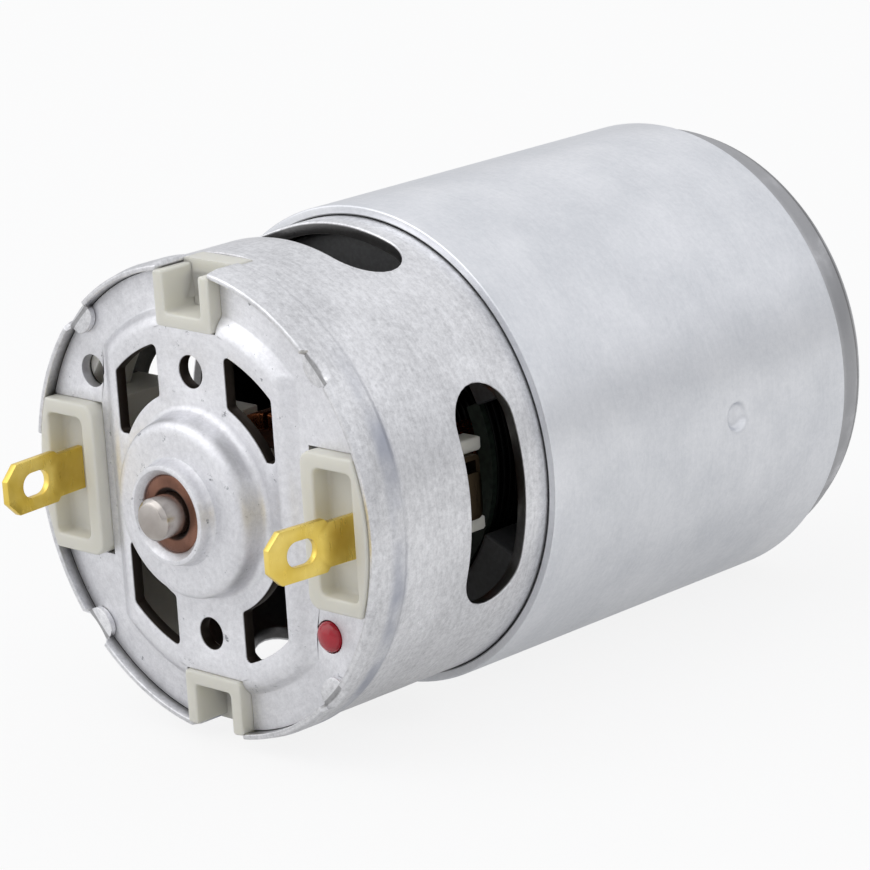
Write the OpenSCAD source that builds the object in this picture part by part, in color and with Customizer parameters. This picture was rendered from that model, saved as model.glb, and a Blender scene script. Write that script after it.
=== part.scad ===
// Small brushed direct-current motor with two permanent magnets and a pressed end plate.
// Each module is drawn with local Z along the shaft: 0 at the mounting face, growing towards
// the terminals. stand() then turns the shaft to Y, with the output end towards +Y.

/* [Can] */
// Outside diameter of the can
can_d = 35.8; // [35:0.1:37.5]
// Length from the mounting face to the rear rim
can_len = 57; // [55:0.5:62]
// Sheet thickness of the can
can_wall = 1; // [0.8:0.05:1.1]
// Radius of the can's front corner
can_corner_r = 3; // [2:0.1:4]
// Diameter of the front boss that centres the motor
boss_d = 13; // [12.6:0.1:15]
// Height of the front boss above the mounting face
boss_h = 4.5; // [4:0.1:6]
// Radius of the front boss's edge
boss_corner_r = 0.6; // [0.3:0.1:0.9]
// Distance between the two mounting holes
mount_pitch = 25; // [23:0.1:26]
// Diameter of the mounting holes, tapping size
mount_hole_d = 2.5; // [2:0.1:3.2]
// Inside diameter of the ring of front air holes
front_vent_in_d = 18; // [17:0.5:20]
// Outside diameter of the ring of front air holes
front_vent_out_d = 26; // [24:0.5:28]
// Angle that each front air hole covers
front_vent_angle = 36; // [20:1:50]

/* [Air slots] */
// Width of a side slot along the shaft
slot_w = 5.8; // [4:0.1:6.5]
// Length of a side slot across the can
slot_len = 16.6; // [12:0.1:19]
// Distance from the rear rim to the near edge of the slots
slot_inset = 10.2; // [9:0.1:11]

/* [Rear rim] */
// Height of the rim's step above the can
rim_step = 0.2; // [0.05:0.05:0.4]
// Length of the rim along the shaft
rim_len = 3.2; // [2.5:0.1:4]
// Thickness of the rim's edge
rim_wall = 0.6; // [0.5:0.05:0.7]
// Distance from the rim down to the end plate
plate_recess = 1; // [0.8:0.05:1.3]
// Width of a rim tab staked over the end plate
crimp_w = 2.7; // [2:0.1:3.5]
// Reach of a staked tab over the end plate
crimp_reach = 1.3; // [0.8:0.1:1.6]
// Thickness of a staked tab
crimp_t = 0.5; // [0.3:0.05:0.7]
// Width of the notch beside the left terminal
side_notch_w = 5.2; // [4:0.1:6]
// Depth of the notch beside the left terminal
side_notch_h = 1; // [0.6:0.1:1.5]
// Width of the upper and lower rim notches
key_notch_w = 5.6; // [4.8:0.1:6]
// Depth of the upper and lower rim notches
key_notch_h = 4.8; // [4:0.1:5.5]

/* [Flux ring] */
// Wall of the steel sleeve around the can
ring_wall = 0.75; // [0.6:0.05:1.2]
// Length of the sleeve
ring_len = 34; // [28:0.5:36]
// Distance from the rear rim to the sleeve
ring_inset = 18.25; // [17.5:0.05:20]
// Width of the open seam of the sleeve
seam_w = 0.4; // [0.2:0.1:1]
// Direction of the seam, counted from the right as seen from the terminals
seam_turn = 250; // [200:5:340]
// Diameter of the punched dimple in the sleeve
dimple_d = 2.4; // [1.5:0.1:3]
// Depth of the dimple
dimple_h = 0.45; // [0.2:0.05:0.5]
// Distance from the rear rim to the dimple
dimple_inset = 39.1; // [30:0.1:44]

/* [End plate] */
// Sheet thickness of the end plate
plate_t = 1; // [0.8:0.05:1.2]
// Height of the raised middle of the end plate
raise_h = 0.8; // [0.5:0.05:0.9]
// Diameter of the raised middle at its foot
raise_d = 29.4; // [28:0.1:30]
// Width of the raised middle at the foot of its straight sides
raise_w = 21.2; // [20.4:0.1:21.6]
// Width of the slope along the straight sides
raise_side_w = 1.5; // [0.5:0.1:1.6]
// Width of the slope round the ends
raise_end_w = 0.8; // [0.5:0.1:1]
// Diameter of the bearing boss of the end plate
rear_boss_d = 13.8; // [13.2:0.1:15]
// Height of the bearing boss above the raised middle
rear_boss_h = 2.25; // [1.8:0.05:2.8]
// Outside diameter of the nose around the rear bearing
nose_d = 7.9; // [7.7:0.1:9]
// Height of the nose above the bearing boss
nose_h = 1.3; // [0.9:0.05:1.6]
// Distance between the two tapped holes of the end plate
rear_hole_pitch = 20; // [19:0.1:21]
// Diameter of the four small holes of the end plate
rear_hole_d = 2.5; // [2:0.1:3]
// Sideways distance from the shaft to the two outer small holes
mark_x = 11.8; // [11.2:0.1:12.4]
// Upward distance from the shaft to the two outer small holes
mark_y = 8.3; // [7.8:0.1:9]
// Inside diameter of the air windows
window_in_d = 17; // [16:0.1:18.5]
// Outside diameter of the air windows
window_out_d = 24.5; // [23:0.1:25]
// Half distance between left and right air windows
window_x = 3.6; // [3:0.1:4.5]
// Width of an air window
window_w = 4.7; // [3:0.1:5]
// Half distance between upper and lower air windows
window_y = 4.25; // [3.5:0.05:5]

/* [Brush holder] */
// Height of the holder's bosses above the rear rim
holder_proud = 0.15; // [0:0.05:0.4]
// Sideways distance from the shaft to the terminal pockets
pocket_x = 11.1; // [10.9:0.1:11.5]
// Width of a terminal pocket
pocket_w = 11.8; // [10:0.1:12.6]
// Depth of a terminal pocket below the rear rim
pocket_h = 1.5; // [1:0.1:1.9]
// Width of the upper and lower keys
key_w = 5.9; // [5.7:0.1:6.6]
// Distance from the shaft to the keys
key_y = 13.2; // [12.8:0.1:13.5]
// Depth of the hollow in a key
key_h = 3; // [2:0.1:3.5]
// Wall of the holder's pockets and keys
holder_wall = 1.05; // [0.8:0.05:1.3]
// Length of the holder's ring under the end plate
holder_len = 4.5; // [3:0.1:5]
// Wall of the holder's ring
holder_ring_wall = 1.8; // [1.2:0.1:2.4]

/* [Terminals] */
// Sheet thickness of a terminal
terminal_t = 0.6; // [0.5:0.05:0.8]
// Distance from the shaft to the middle of a terminal's foot
terminal_x = 14.7; // [14.6:0.05:15]
// Sideways shift of each terminal from the middle of its pocket
terminal_shift = 0.3; // [0:0.05:0.5]
// Width of a terminal's foot
foot_w = 3.3; // [2.8:0.1:3.6]
// Width of a terminal's tab
tab_w = 3.95; // [3.7:0.05:4.8]
// Height of the wide tab's shoulder above the rear rim
tab_start = 1.15; // [0.5:0.05:2]
// Height of the tab's tip above the rear rim
tab_tip = 6.65; // [6:0.05:8]
// Lean of a tab towards the shaft
tab_lean = 4.9; // [0:0.1:7]
// Width of the hole in a tab
tab_hole_w = 1.9; // [1.5:0.05:2.2]
// Length of the hole in a tab
tab_hole_len = 2.7; // [2.2:0.05:3]
// Distance from a tab's tip to the middle of its hole
tab_hole_inset = 3; // [2.6:0.1:3.4]
// Length of the cut corners of a tab
tab_corner = 1.1; // [0.6:0.05:1.4]

/* [Brushes] */
// Width of a brush around the commutator
brush_w = 4; // [3:0.1:4.2]
// Height of a brush along the shaft
brush_h = 5; // [4:0.1:5.2]
// Length of a brush at its worn side
brush_len = 4.4; // [3.5:0.1:4.4]
// Sheet thickness of a brush box
box_wall = 0.4; // [0.3:0.05:0.5]
// Distance from the rear rim to the middle of the brushes
brush_inset = 11.9; // [11.6:0.1:12.5]
// Wire diameter of a brush spring
spring_wire_d = 0.5; // [0.3:0.05:0.5]
// Mean diameter of a brush spring
spring_d = 2.9; // [2.2:0.1:3]
// Number of curls of a brush spring
spring_curls = 4; // [2:1:4]

/* [Rotor] */
// Diameter of the shaft
shaft_d = 3.175; // [3:0.005:3.2]
// Length of the shaft in front of the mounting face
shaft_front = 15; // [9:0.5:25]
// Length of the shaft behind the rear rim
shaft_rear = 4.85; // [4.2:0.05:7]
// Chamfer at both ends of the shaft
shaft_chamfer = 0.3; // [0.1:0.05:0.5]
// Width of the oil-stop groove just outside the front boss
groove_w = 0.6; // [0.55:0.05:1]
// Depth of the oil-stop groove
groove_h = 0.2; // [0.18:0.01:0.3]
// Length of the lamination stack
stack_len = 26; // [20:0.5:27]
// Room for a winding between the stack's middle and a pole's shoe
winding_room = 6.2; // [6:0.05:6.4]
// Width of a pole's neck
neck_w = 5.5; // [4.5:0.1:5.6]
// Thickness of a pole's shoe
shoe_t = 1.6; // [1.2:0.05:1.65]
// Opening between two pole shoes
pole_gap = 2.4; // [1.5:0.1:3]
// Thickness of an end insulator
insulator_t = 0.5; // [0.3:0.05:0.6]
// Diameter of the winding wire as drawn, thicker than life so that each turn shows
wire_d = 0.7; // [0.5:0.02:0.72]
// Clear gap between neighbouring turns
wire_gap = 0.5; // [0.49:0.01:0.52]
// Turns in each layer of a winding
layer_turns = 3; // [2:1:3]
// Outside diameter of the commutator
comm_d = 10.4; // [9.6:0.1:10.6]
// Thickness of the commutator's copper
comm_t = 1.3; // [0.8:0.1:1.8]
// Length of the commutator behind its flange
comm_len = 8.2; // [7.6:0.1:9]
// Diameter of the flange that the winding wires meet
comm_flange_d = 15.4; // [15.3:0.1:16]
// Thickness of the flange
comm_flange_t = 0.5; // [0.4:0.05:0.5]
// Gap between two commutator segments
comm_gap = 0.5; // [0.3:0.05:0.8]

/* [Magnets] */
// Thickness of the magnets
magnet_t = 4.25; // [4.05:0.05:4.3]
// Length of the magnets
magnet_len = 31.4; // [26:0.2:34]
// Angle that each magnet covers
magnet_angle = 130; // [110:1:136]
// Running gap between rotor and magnets
air_gap = 0.6; // [0.4:0.05:0.8]
// Wire diameter of the magnet clips
clip_d = 1; // [0.8:0.05:1.2]
// Length of the straight legs of a magnet clip
clip_len = 20; // [14:0.5:22]

/* [Bearings] */
// Ball diameter of the two self-aligning bushes
bush_d = 8.6; // [8.2:0.1:8.8]
// Diameter of the flat face at the outer end of a bush
bush_face_d = 5.7; // [5.4:0.1:6]
// Length of a bush from its middle to its inner end
bush_in_len = 3; // [2.4:0.1:3.2]
// Distance from the rear nose's edge down to the bush
nose_depth = 0.6; // [0.4:0.05:0.7]
// Thickness of a bush retainer
retainer_t = 0.5; // [0.4:0.05:0.6]
// Diameter of the spacers on the shaft
spacer_d = 5.2; // [4.6:0.1:5.8]
// Thickness of one thrust washer
washer_t = 0.3; // [0.2:0.05:0.4]
// Outside diameter of the thrust washers
washer_d = 6; // [5:0.1:6.4]

/* [Fits] */
// Gap between pieces that stay put
fit = 0.05; // [0.03:0.01:0.08]
// Radial gap between the shaft and its bushes
run_fit = 0.02; // [0.01:0.005:0.04]
// Radial gap between the shaft and what is pressed on it
press_fit = 0.01; // [0.005:0.001:0.012]
// End play of the rotor at each bush
end_play = 0.12; // [0.05:0.01:0.2]

/* [Hidden] */
$fn = 96;
over = 1;
can_r = can_d / 2;
can_bore_r = can_r - can_wall;
rim_r = can_r + rim_step;
rim_bore_r = rim_r - rim_wall;
shaft_r = shaft_d / 2;
comm_r = comm_d / 2;
magnet_out_r = can_bore_r - fit;
magnet_in_r = magnet_out_r - magnet_t;
rotor_r = magnet_in_r - air_gap;
hub_r = rotor_r - shoe_t - winding_room;
poles = 3;

// Stations along the shaft, counted from the mounting face
plate_back = can_len - plate_recess;
plate_front = plate_back - plate_t;
raise_back = plate_back + raise_h;
boss_back = raise_back + rear_boss_h;
nose_back = boss_back + nose_h;
holder_back = can_len + holder_proud;
holder_front = plate_front - holder_len;
slot_back = can_len - slot_inset;
slot_front = slot_back - slot_w;
brush_z = can_len - brush_inset;

// Directions in which the four rim tabs were found, seen from the terminals
crimp_angles = [42.7, 134.3, 222.1, 314.6];

// Bushes: a ball of bush_d cut flat at both ends, held at its widest place
bush_r = bush_d / 2;
bush_chamfer = 0.35;
bush_seat_w = 0.45;
bush_face_h = sqrt(bush_r * bush_r - bush_face_d * bush_face_d / 4);
rear_bush_z = nose_back - nose_depth - bush_face_h;
front_wall_bore_r = bush_face_d / 2 + bush_seat_w;
front_wall_bore_h = sqrt(pow(bush_r, 2) - pow(front_wall_bore_r - fit, 2));
front_bush_z = can_wall - boss_h + front_wall_bore_h;

// Pressed shapes of the end plate: its boss and nose narrow upwards, the nose's bore flares
boss_root_w = 0.2;
boss_taper = 0.85;
nose_taper = 0.25;
nose_bore_r = bush_face_d / 2 + 0.1;
nose_flare = 0.45;
rear_cavity_r = rear_boss_d / 2 - plate_t - boss_root_w;

// Brush boxes, tubes that run outwards from the commutator to the terminals
box_w = brush_w + 2 * (fit + box_wall);
box_h = brush_h + 2 * (fit + box_wall);
box_comm_gap = 1.1;
box_in = comm_r + box_comm_gap;
box_out = terminal_x - terminal_t / 2;
box_back = brush_z + box_h / 2;
box_front = brush_z - box_h / 2;
brush_in = comm_r + fit;
brush_out = brush_in + brush_len;

// Holder: side blocks carry the boxes, and prongs grip them from both sides
holder_r = can_bore_r - 2 * fit;
block_w = box_w + 2 * fit + 2 * holder_wall;
block_setback = 0.6;
block_in = box_in + block_setback;
prong_in = 12.3;
prong_w = 1.7;
prong_overhang = 0.8;
prong_front = box_front - prong_overhang;
cheek_setback = 2;
cheek_front = box_front + cheek_setback;
pocket_corner = 0.8;

// Rotor, placed from its flange forwards
flange_air = 0.6;
flange_back = box_front - flange_air;
flange_front = flange_back - comm_flange_t;
comm_back = flange_back + comm_len;
wire_pitch = wire_d + wire_gap;
winding_air = 0.1;
lead_room = wire_d + winding_air;
stack_back = flange_front - lead_room - wire_d - wire_pitch - winding_air - insulator_t;
stack_front = stack_back - stack_len;
stack_mid = (stack_back + stack_front) / 2;
liner_t = 0.35;
winding_in = hub_r + liner_t + wire_d / 2;
insulator_inset = 0.1;
hub_lip = 0.3;

// Magnets sit between the air slots and the front of the can
magnet_slot_gap = 1.6;
magnet_back = slot_front - magnet_slot_gap;
magnet_front = magnet_back - magnet_len;

// Thrust washers, two at each end
rear_washer_back = rear_bush_z - bush_in_len - end_play;
rear_washer_front = rear_washer_back - 2 * washer_t;
front_washer_front = front_bush_z + bush_in_len + end_play;
front_washer_back = front_washer_front + 2 * washer_t;

// Turns the local shaft direction to Y
module stand() {
    rotate([90, 0, 0]) children();
}

// Copies its children to the right (side 1) or turned to the left (side -1)
module at_side(side) {
    rotate([0, 0, side > 0 ? 0 : 180]) children();
}

// Cylinder between two stations
module disc(r, from, to) {
    translate([0, 0, from]) cylinder(r = r, h = to - from);
}

// Pipe between two stations
module pipe(r_out, r_in, from, to) {
    difference() {
        disc(r_out, from, to);
        disc(r_in, from - over, to + over);
    }
}

// Block given by its lower and upper corners
module block(low, high) {
    translate(low) cube(high - low);
}

// Cup-shaped outline, rounded at its lower outer corner, to be spun
module cup_outline(r, from, to, corner) {
    translate([0, from + corner]) square([r, to - from - corner]);
    translate([0, from]) square([r - corner, to - from]);
    translate([r - corner, from + corner]) circle(r = corner);
}

// Pie slice of half angle a around the local X direction, for angles under 90 degrees
module slice(a, size) {
    polygon([[0, 0], [size, -size * tan(a)], [size, size * tan(a)]]);
}

// Slice of a flat ring around the local X direction
module ring_slice(r_in, r_out, a) {
    intersection() {
        difference() {
            circle(r = r_out);
            circle(r = r_in);
        }
        slice(a, 2 * r_out);
    }
}

// Rectangle with round ends, its length along the local Y direction
module round_ended(w, len) {
    square([w, len - w], center = true);
    for (end = [-1, 1]) {
        translate([0, end * (len - w) / 2]) circle(d = w);
    }
}

// Raised middle of the end plate: round ends and straight sides slope up from its foot
module raised_middle(foot, below) {
    r = raise_d / 2;
    half = raise_w / 2;
    translate([0, 0, foot]) intersection() {
        rotate_extrude() polygon([
            [0, -below], [r, -below], [r, 0], [r - raise_end_w, raise_h], [0, raise_h]
        ]);
        rotate([90, 0, 0]) linear_extrude(raise_d, center = true) polygon([
            [-half, -below], [half, -below], [half, 0],
            [half - raise_side_w, raise_h], [raise_side_w - half, raise_h], [-half, 0]
        ]);
    }
}

// Frame round a terminal: inner corners cut, outer side left to the rim
module pocket_outline(x, w, corner) {
    polygon([
        [x + corner, w / 2], [x, w / 2 - corner], [x, corner - w / 2], [x + corner, -w / 2],
        [can_d, -w / 2], [can_d, w / 2]
    ]);
}

module can() {
    color([0.76, 0.77, 0.79])
    stand()
    difference() {
        union() {
            rotate_extrude() cup_outline(can_r, 0, can_len, can_corner_r);
            rotate_extrude() cup_outline(boss_d / 2, -boss_h, over, boss_corner_r);
            disc(rim_r, can_len - rim_len, can_len);
        }
        rotate_extrude() cup_outline(can_bore_r, can_wall, can_len + over, can_corner_r - can_wall);
        disc(rim_bore_r, plate_front, can_len + over);
        disc(boss_d / 2 - can_wall, can_wall - boss_h, 2 * can_wall);
        disc(front_wall_bore_r, -boss_h - over, 0);
        mounting_holes();
        front_vents();
        side_slots();
        rim_notches();
    }
    color([0.76, 0.77, 0.79])
    stand()
    crimp_tabs();
}

// Two tapped holes in the mounting face
module mounting_holes() {
    for (side = [-1, 1]) {
        translate([side * mount_pitch / 2, 0, -over])
            cylinder(d = mount_hole_d, h = can_wall + 2 * over);
    }
}

// Four curved air holes in the mounting face
module front_vents() {
    for (turn = [45 : 90 : 315]) {
        rotate([0, 0, turn]) translate([0, 0, -over]) linear_extrude(can_wall + 2 * over)
            ring_slice(front_vent_in_d / 2, front_vent_out_d / 2, front_vent_angle / 2);
    }
}

// Four round-ended air slots near the rear
module side_slots() {
    for (turn = [0 : 90 : 270]) {
        rotate([0, 0, turn]) translate([can_r / 2, 0, (slot_front + slot_back) / 2])
            rotate([0, 90, 0]) linear_extrude(can_r) round_ended(slot_w, slot_len);
    }
}

// Rim notches: deep ones for the two keys, a shallow one beside the left terminal
module rim_notches() {
    for (side = [0, 180]) {
        rotate([0, 0, side])
            block(
                [-key_notch_w / 2, can_r / 2, can_len - key_notch_h],
                [key_notch_w / 2, can_r + over, can_len + over]
            );
    }
    translate([0, terminal_shift, 0])
        block(
            [-can_r - over, -side_notch_w / 2, can_len - side_notch_h],
            [-can_r / 2, side_notch_w / 2, can_len + over]
        );
    for (turn = crimp_angles) {
        rotate([0, 0, turn])
            block(
                [can_r / 2, -crimp_w / 2, plate_back + crimp_t],
                [can_r + over, crimp_w / 2, can_len + over]
            );
    }
}

// Four tabs of the rim, bent over the end plate
module crimp_tabs() {
    for (turn = crimp_angles) {
        rotate([0, 0, turn]) intersection() {
            block(
                [rim_bore_r - crimp_reach, -crimp_w / 2, plate_back],
                [can_r, crimp_w / 2, plate_back + crimp_t]
            );
            disc(rim_bore_r + rim_wall / 2, plate_back, plate_back + crimp_t);
        }
    }
}

module flux_ring() {
    ring_in_r = can_r + fit;
    ring_r = ring_in_r + ring_wall;
    back = can_len - ring_inset;
    dimple_r = (pow(dimple_d / 2, 2) + pow(dimple_h, 2)) / (2 * dimple_h);
    color([0.72, 0.74, 0.77])
    stand()
    difference() {
        pipe(ring_r, ring_in_r, back - ring_len, back);
        rotate([0, 0, seam_turn])
            block([can_r / 2, -seam_w / 2, back - ring_len - over], [can_d, seam_w / 2, back + over]);
        translate([ring_r + dimple_r - dimple_h, 0, can_len - dimple_inset]) sphere(r = dimple_r);
    }
}

// Curved magnet, its middle at the given direction
module magnet(turn) {
    color([0.2, 0.2, 0.21])
    stand()
    rotate([0, 0, turn])
    translate([0, 0, magnet_front])
    linear_extrude(magnet_len)
    ring_slice(magnet_in_r, magnet_out_r, magnet_angle / 2);
}

module magnet_upper() {
    magnet(90);
}

module magnet_lower() {
    magnet(270);
}

// Two U-shaped wires that push the magnets apart
module magnet_clips() {
    clip_r = magnet_out_r - clip_d / 2;
    half_gap = 90 - magnet_angle / 2;
    leg_angle = half_gap - asin((clip_d / 2 + fit) / clip_r);
    half_width = clip_r * sin(leg_angle);
    depth = clip_r * cos(leg_angle);
    clip_inset = 2;
    leg_back = magnet_back - clip_inset;
    color([0.7, 0.71, 0.73])
    stand()
    for (side = [-1, 1]) {
        at_side(side) translate([depth, 0, leg_back - clip_len]) {
            for (leg = [-1, 1]) {
                translate([0, leg * half_width, 0]) cylinder(d = clip_d, h = clip_len);
            }
            rotate([0, 90, 0]) rotate([0, 0, -90]) rotate_extrude(angle = 180)
                translate([half_width, 0]) circle(d = clip_d);
        }
    }
}

module end_plate() {
    boss_root_r = rear_boss_d / 2 + boss_root_w;
    color([0.8, 0.81, 0.83])
    stand()
    difference() {
        union() {
            disc(rim_bore_r - fit, plate_front, plate_back);
            raised_middle(plate_back, plate_t);
            translate([0, 0, raise_back])
                cylinder(r1 = boss_root_r, r2 = boss_root_r - boss_taper, h = rear_boss_h);
            translate([0, 0, boss_back])
                cylinder(r1 = nose_d / 2, r2 = nose_d / 2 - nose_taper, h = nose_h);
        }
        raised_middle(plate_front, over);
        disc(rear_cavity_r, plate_front, boss_back - plate_t);
        translate([0, 0, rear_bush_z]) intersection() {
            sphere(r = bush_r + fit);
            disc(bush_r + over, 0, bush_face_h + fit);
        }
        disc(nose_bore_r, boss_back - plate_t, nose_back + over);
        translate([0, 0, nose_back - nose_depth + fit])
            cylinder(r1 = nose_bore_r, r2 = nose_bore_r + nose_flare, h = nose_depth);
        plate_holes();
        windows();
        holder_openings();
    }
}

// Two tapped holes on the vertical, and two open outer ones
module plate_holes() {
    for (side = [-1, 1]) {
        translate([0, side * rear_hole_pitch / 2, plate_front - over])
            cylinder(d = rear_hole_d, h = plate_t + raise_h + 2 * over);
        translate([-side * mark_x, side * mark_y, plate_front - over])
            cylinder(d = rear_hole_d, h = plate_t + 2 * over);
    }
}

// Four air windows, each cut by two arcs and two straight sides
module windows() {
    translate([0, 0, plate_front - over]) linear_extrude(plate_t + raise_h + 2 * over)
    for (sx = [-1, 1], sy = [-1, 1]) {
        intersection() {
            difference() {
                circle(d = window_out_d);
                circle(d = window_in_d);
            }
            in_corner(sx, sy) square([window_w, window_out_d]);
        }
    }
}

// Moves a square drawn from the origin to one quarter of the plate
module in_corner(sx, sy) {
    mirror([sx > 0 ? 0 : 1, 0]) mirror([0, sy > 0 ? 0 : 1]) translate([window_x, window_y]) children();
}

// What the holder's pockets and keys pass through
module holder_openings() {
    height = plate_t + raise_h + 2 * over;
    for (side = [-1, 1]) {
        at_side(side) translate([0, 0, plate_front - over])
            block([pocket_x - fit, -pocket_w / 2 - fit, 0], [can_d, pocket_w / 2 + fit, height]);
    }
    for (turn = [0, 180]) {
        rotate([0, 0, turn]) translate([0, 0, plate_front - over])
            block([-key_w / 2 - fit, key_y - fit, 0], [key_w / 2 + fit, can_d, height]);
    }
}

// Drop of red paint that fills one outer hole and stands a little proud
module polarity_mark() {
    r = rear_hole_d / 2 - fit;
    proud = 0.3;
    inset = 0.1;
    dome_r = (r * r + proud * proud) / (2 * proud);
    color([0.7, 0.05, 0.12])
    stand()
    translate([mark_x, -mark_y, 0]) {
        disc(r, plate_front + inset, plate_back);
        intersection() {
            translate([0, 0, plate_back + proud - dome_r]) sphere(r = dome_r);
            disc(r, plate_back - inset, plate_back + over);
        }
    }
}

module brush_holder() {
    color([0.86, 0.86, 0.8])
    stand()
    difference() {
        union() {
            pipe(holder_r, holder_r - holder_ring_wall, holder_front, plate_front);
            for (side = [-1, 1]) {
                at_side(side) holder_block();
            }
            for (turn = [0, 180]) {
                rotate([0, 0, turn]) holder_key();
            }
        }
        for (side = [-1, 1]) {
            at_side(side) terminal_slot();
        }
    }
}

// One side of the holder: block behind the brush box, cheeks, prongs and terminal pocket
module holder_block() {
    cheek_in = box_w / 2 + fit;
    intersection() {
        disc(holder_r, prong_front - over, plate_front);
        union() {
            block([block_in, -block_w / 2, box_back], [can_r, block_w / 2, plate_front]);
            block([pocket_x, -pocket_w / 2, box_back], [can_r, pocket_w / 2, plate_front]);
            for (leg = [0, 1]) {
                mirror([0, leg, 0]) {
                    block(
                        [block_in, cheek_in, cheek_front],
                        [prong_in + over, block_w / 2, box_back + over]
                    );
                    block(
                        [prong_in, cheek_in, prong_front],
                        [prong_in + prong_w, block_w / 2, box_back + over]
                    );
                }
            }
        }
    }
    difference() {
        intersection() {
            disc(rim_bore_r - fit, plate_front - over, holder_back);
            translate([0, 0, plate_front - over]) linear_extrude(holder_back - plate_front + over)
                pocket_outline(pocket_x, pocket_w, pocket_corner);
            union() {
                disc(holder_r, plate_front - over, plate_front);
                disc(rim_bore_r, plate_front, holder_back);
            }
        }
        intersection() {
            translate([0, 0, can_len - pocket_h]) linear_extrude(pocket_h + over)
                pocket_outline(pocket_x + holder_wall, pocket_w - 2 * holder_wall, pocket_corner);
            disc(rim_bore_r - fit - holder_wall, 0, can_len + over);
        }
    }
}

// Slot for a terminal's foot
module terminal_slot() {
    half = terminal_t / 2 + fit;
    translate([terminal_x, terminal_side_shift(), 0])
        block([-half, -foot_w / 2 - fit, 0], [half, foot_w / 2 + fit, can_len]);
}

// Each terminal is shifted the same way in its own half, so that a half turn maps one on the other
function terminal_side_shift() = -terminal_shift;

// Key with a hollow that is open outwards, and the pad that fills the notch of the rim
module holder_key() {
    pad_w = key_notch_w - 4 * fit;
    difference() {
        union() {
            intersection() {
                block([-key_w / 2, key_y, holder_front], [key_w / 2, can_r, plate_front]);
                disc(holder_r, holder_front, plate_front);
            }
            intersection() {
                block([-key_w / 2, key_y, plate_front], [key_w / 2, can_r, holder_back]);
                disc(rim_bore_r - fit, plate_front, holder_back);
            }
            intersection() {
                block(
                    [-pad_w / 2, key_y, can_len - key_notch_h + 2 * fit],
                    [pad_w / 2, can_r, holder_back]
                );
                disc(can_r - fit, holder_front, holder_back);
            }
        }
        block(
            [holder_wall - key_w / 2, key_y + holder_wall, holder_back - key_h],
            [key_w / 2 - holder_wall, can_r + over, holder_back + over]
        );
    }
}

// Terminal: foot inside the holder, tab leaning towards the shaft, seen from the side and the front
module terminal() {
    bend_z = can_len - pocket_h;
    foot_inset = 0.5;
    foot_front = box_front + foot_inset;
    tab_len = can_len + tab_tip - bend_z;
    hole_z = tab_len - tab_hole_inset;
    translate([terminal_x, terminal_side_shift(), 0]) {
        block([-terminal_t / 2, -foot_w / 2, foot_front], [terminal_t / 2, foot_w / 2, bend_z]);
        translate([0, 0, bend_z]) rotate([0, -tab_lean, 0]) difference() {
            rotate([90, 0, 90]) translate([0, 0, -terminal_t / 2]) linear_extrude(terminal_t)
                tab_outline(tab_len);
            translate([0, 0, hole_z]) rotate([90, 0, 90]) translate([0, 0, -over])
                linear_extrude(2 * over) round_ended(tab_hole_w, tab_hole_len);
        }
        translate([0, 0, bend_z]) rotate([90, 0, 0]) cylinder(d = terminal_t, h = foot_w, center = true);
    }
}

// Outline of a tab: narrow root, wide end, cut corners
module tab_outline(len) {
    shoulder = len - tab_tip + tab_start;
    half = tab_w / 2;
    cut = 0.3;
    translate([-foot_w / 2, 0]) square([foot_w, shoulder + over]);
    polygon([
        [-half, shoulder + cut], [cut - half, shoulder], [half - cut, shoulder], [half, shoulder + cut],
        [half, len - tab_corner], [half - tab_corner, len],
        [tab_corner - half, len], [-half, len - tab_corner]
    ]);
}

module terminal_left() {
    color([0.79, 0.64, 0.2])
    stand()
    at_side(-1) terminal();
}

module terminal_right() {
    color([0.79, 0.64, 0.2])
    stand()
    at_side(1) terminal();
}

// Brass tube that guides a brush
module brush_box() {
    half_w = brush_w / 2 + fit;
    half_h = brush_h / 2 + fit;
    difference() {
        block([box_in, -box_w / 2, box_front], [box_out, box_w / 2, box_back]);
        block([box_in - over, -half_w, brush_z - half_h], [box_out + over, half_w, brush_z + half_h]);
    }
}

module brush_box_left() {
    color([0.72, 0.57, 0.25])
    stand()
    at_side(-1) brush_box();
}

module brush_box_right() {
    color([0.72, 0.57, 0.25])
    stand()
    at_side(1) brush_box();
}

// Carbon brush with its end hollowed to the commutator
module brush() {
    difference() {
        block(
            [comm_r / 2, -brush_w / 2, brush_z - brush_h / 2],
            [brush_out, brush_w / 2, brush_z + brush_h / 2]
        );
        disc(brush_in, 0, can_len);
    }
}

module brush_left() {
    color([0.16, 0.16, 0.17])
    stand()
    at_side(-1) brush();
}

module brush_right() {
    color([0.16, 0.16, 0.17])
    stand()
    at_side(1) brush();
}

// Points of a brush spring, from the brush to the terminal, with straight ends
curl_rings = 8;
spring_len = box_out - brush_out;
spring_rise = spring_len - 2 * spring_wire_d;
spring_steps = spring_curls * curl_rings;
spring_path = concat(
    [[0, spring_d / 2, 0]],
    [for (i = [0 : spring_steps])
        let (a = 360 * i / curl_rings)
        [spring_wire_d + spring_rise * i / spring_steps, spring_d / 2 * cos(a), spring_d / 2 * sin(a)]],
    [[spring_len, spring_d / 2, 0]]
);

module brush_spring() {
    translate([brush_out, 0, brush_z]) tube(spring_path, spring_wire_d, [1, 0, -0.001]);
}

module brush_spring_left() {
    color([0.7, 0.7, 0.72])
    stand()
    at_side(-1) brush_spring();
}

module brush_spring_right() {
    color([0.7, 0.7, 0.72])
    stand()
    at_side(1) brush_spring();
}

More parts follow.
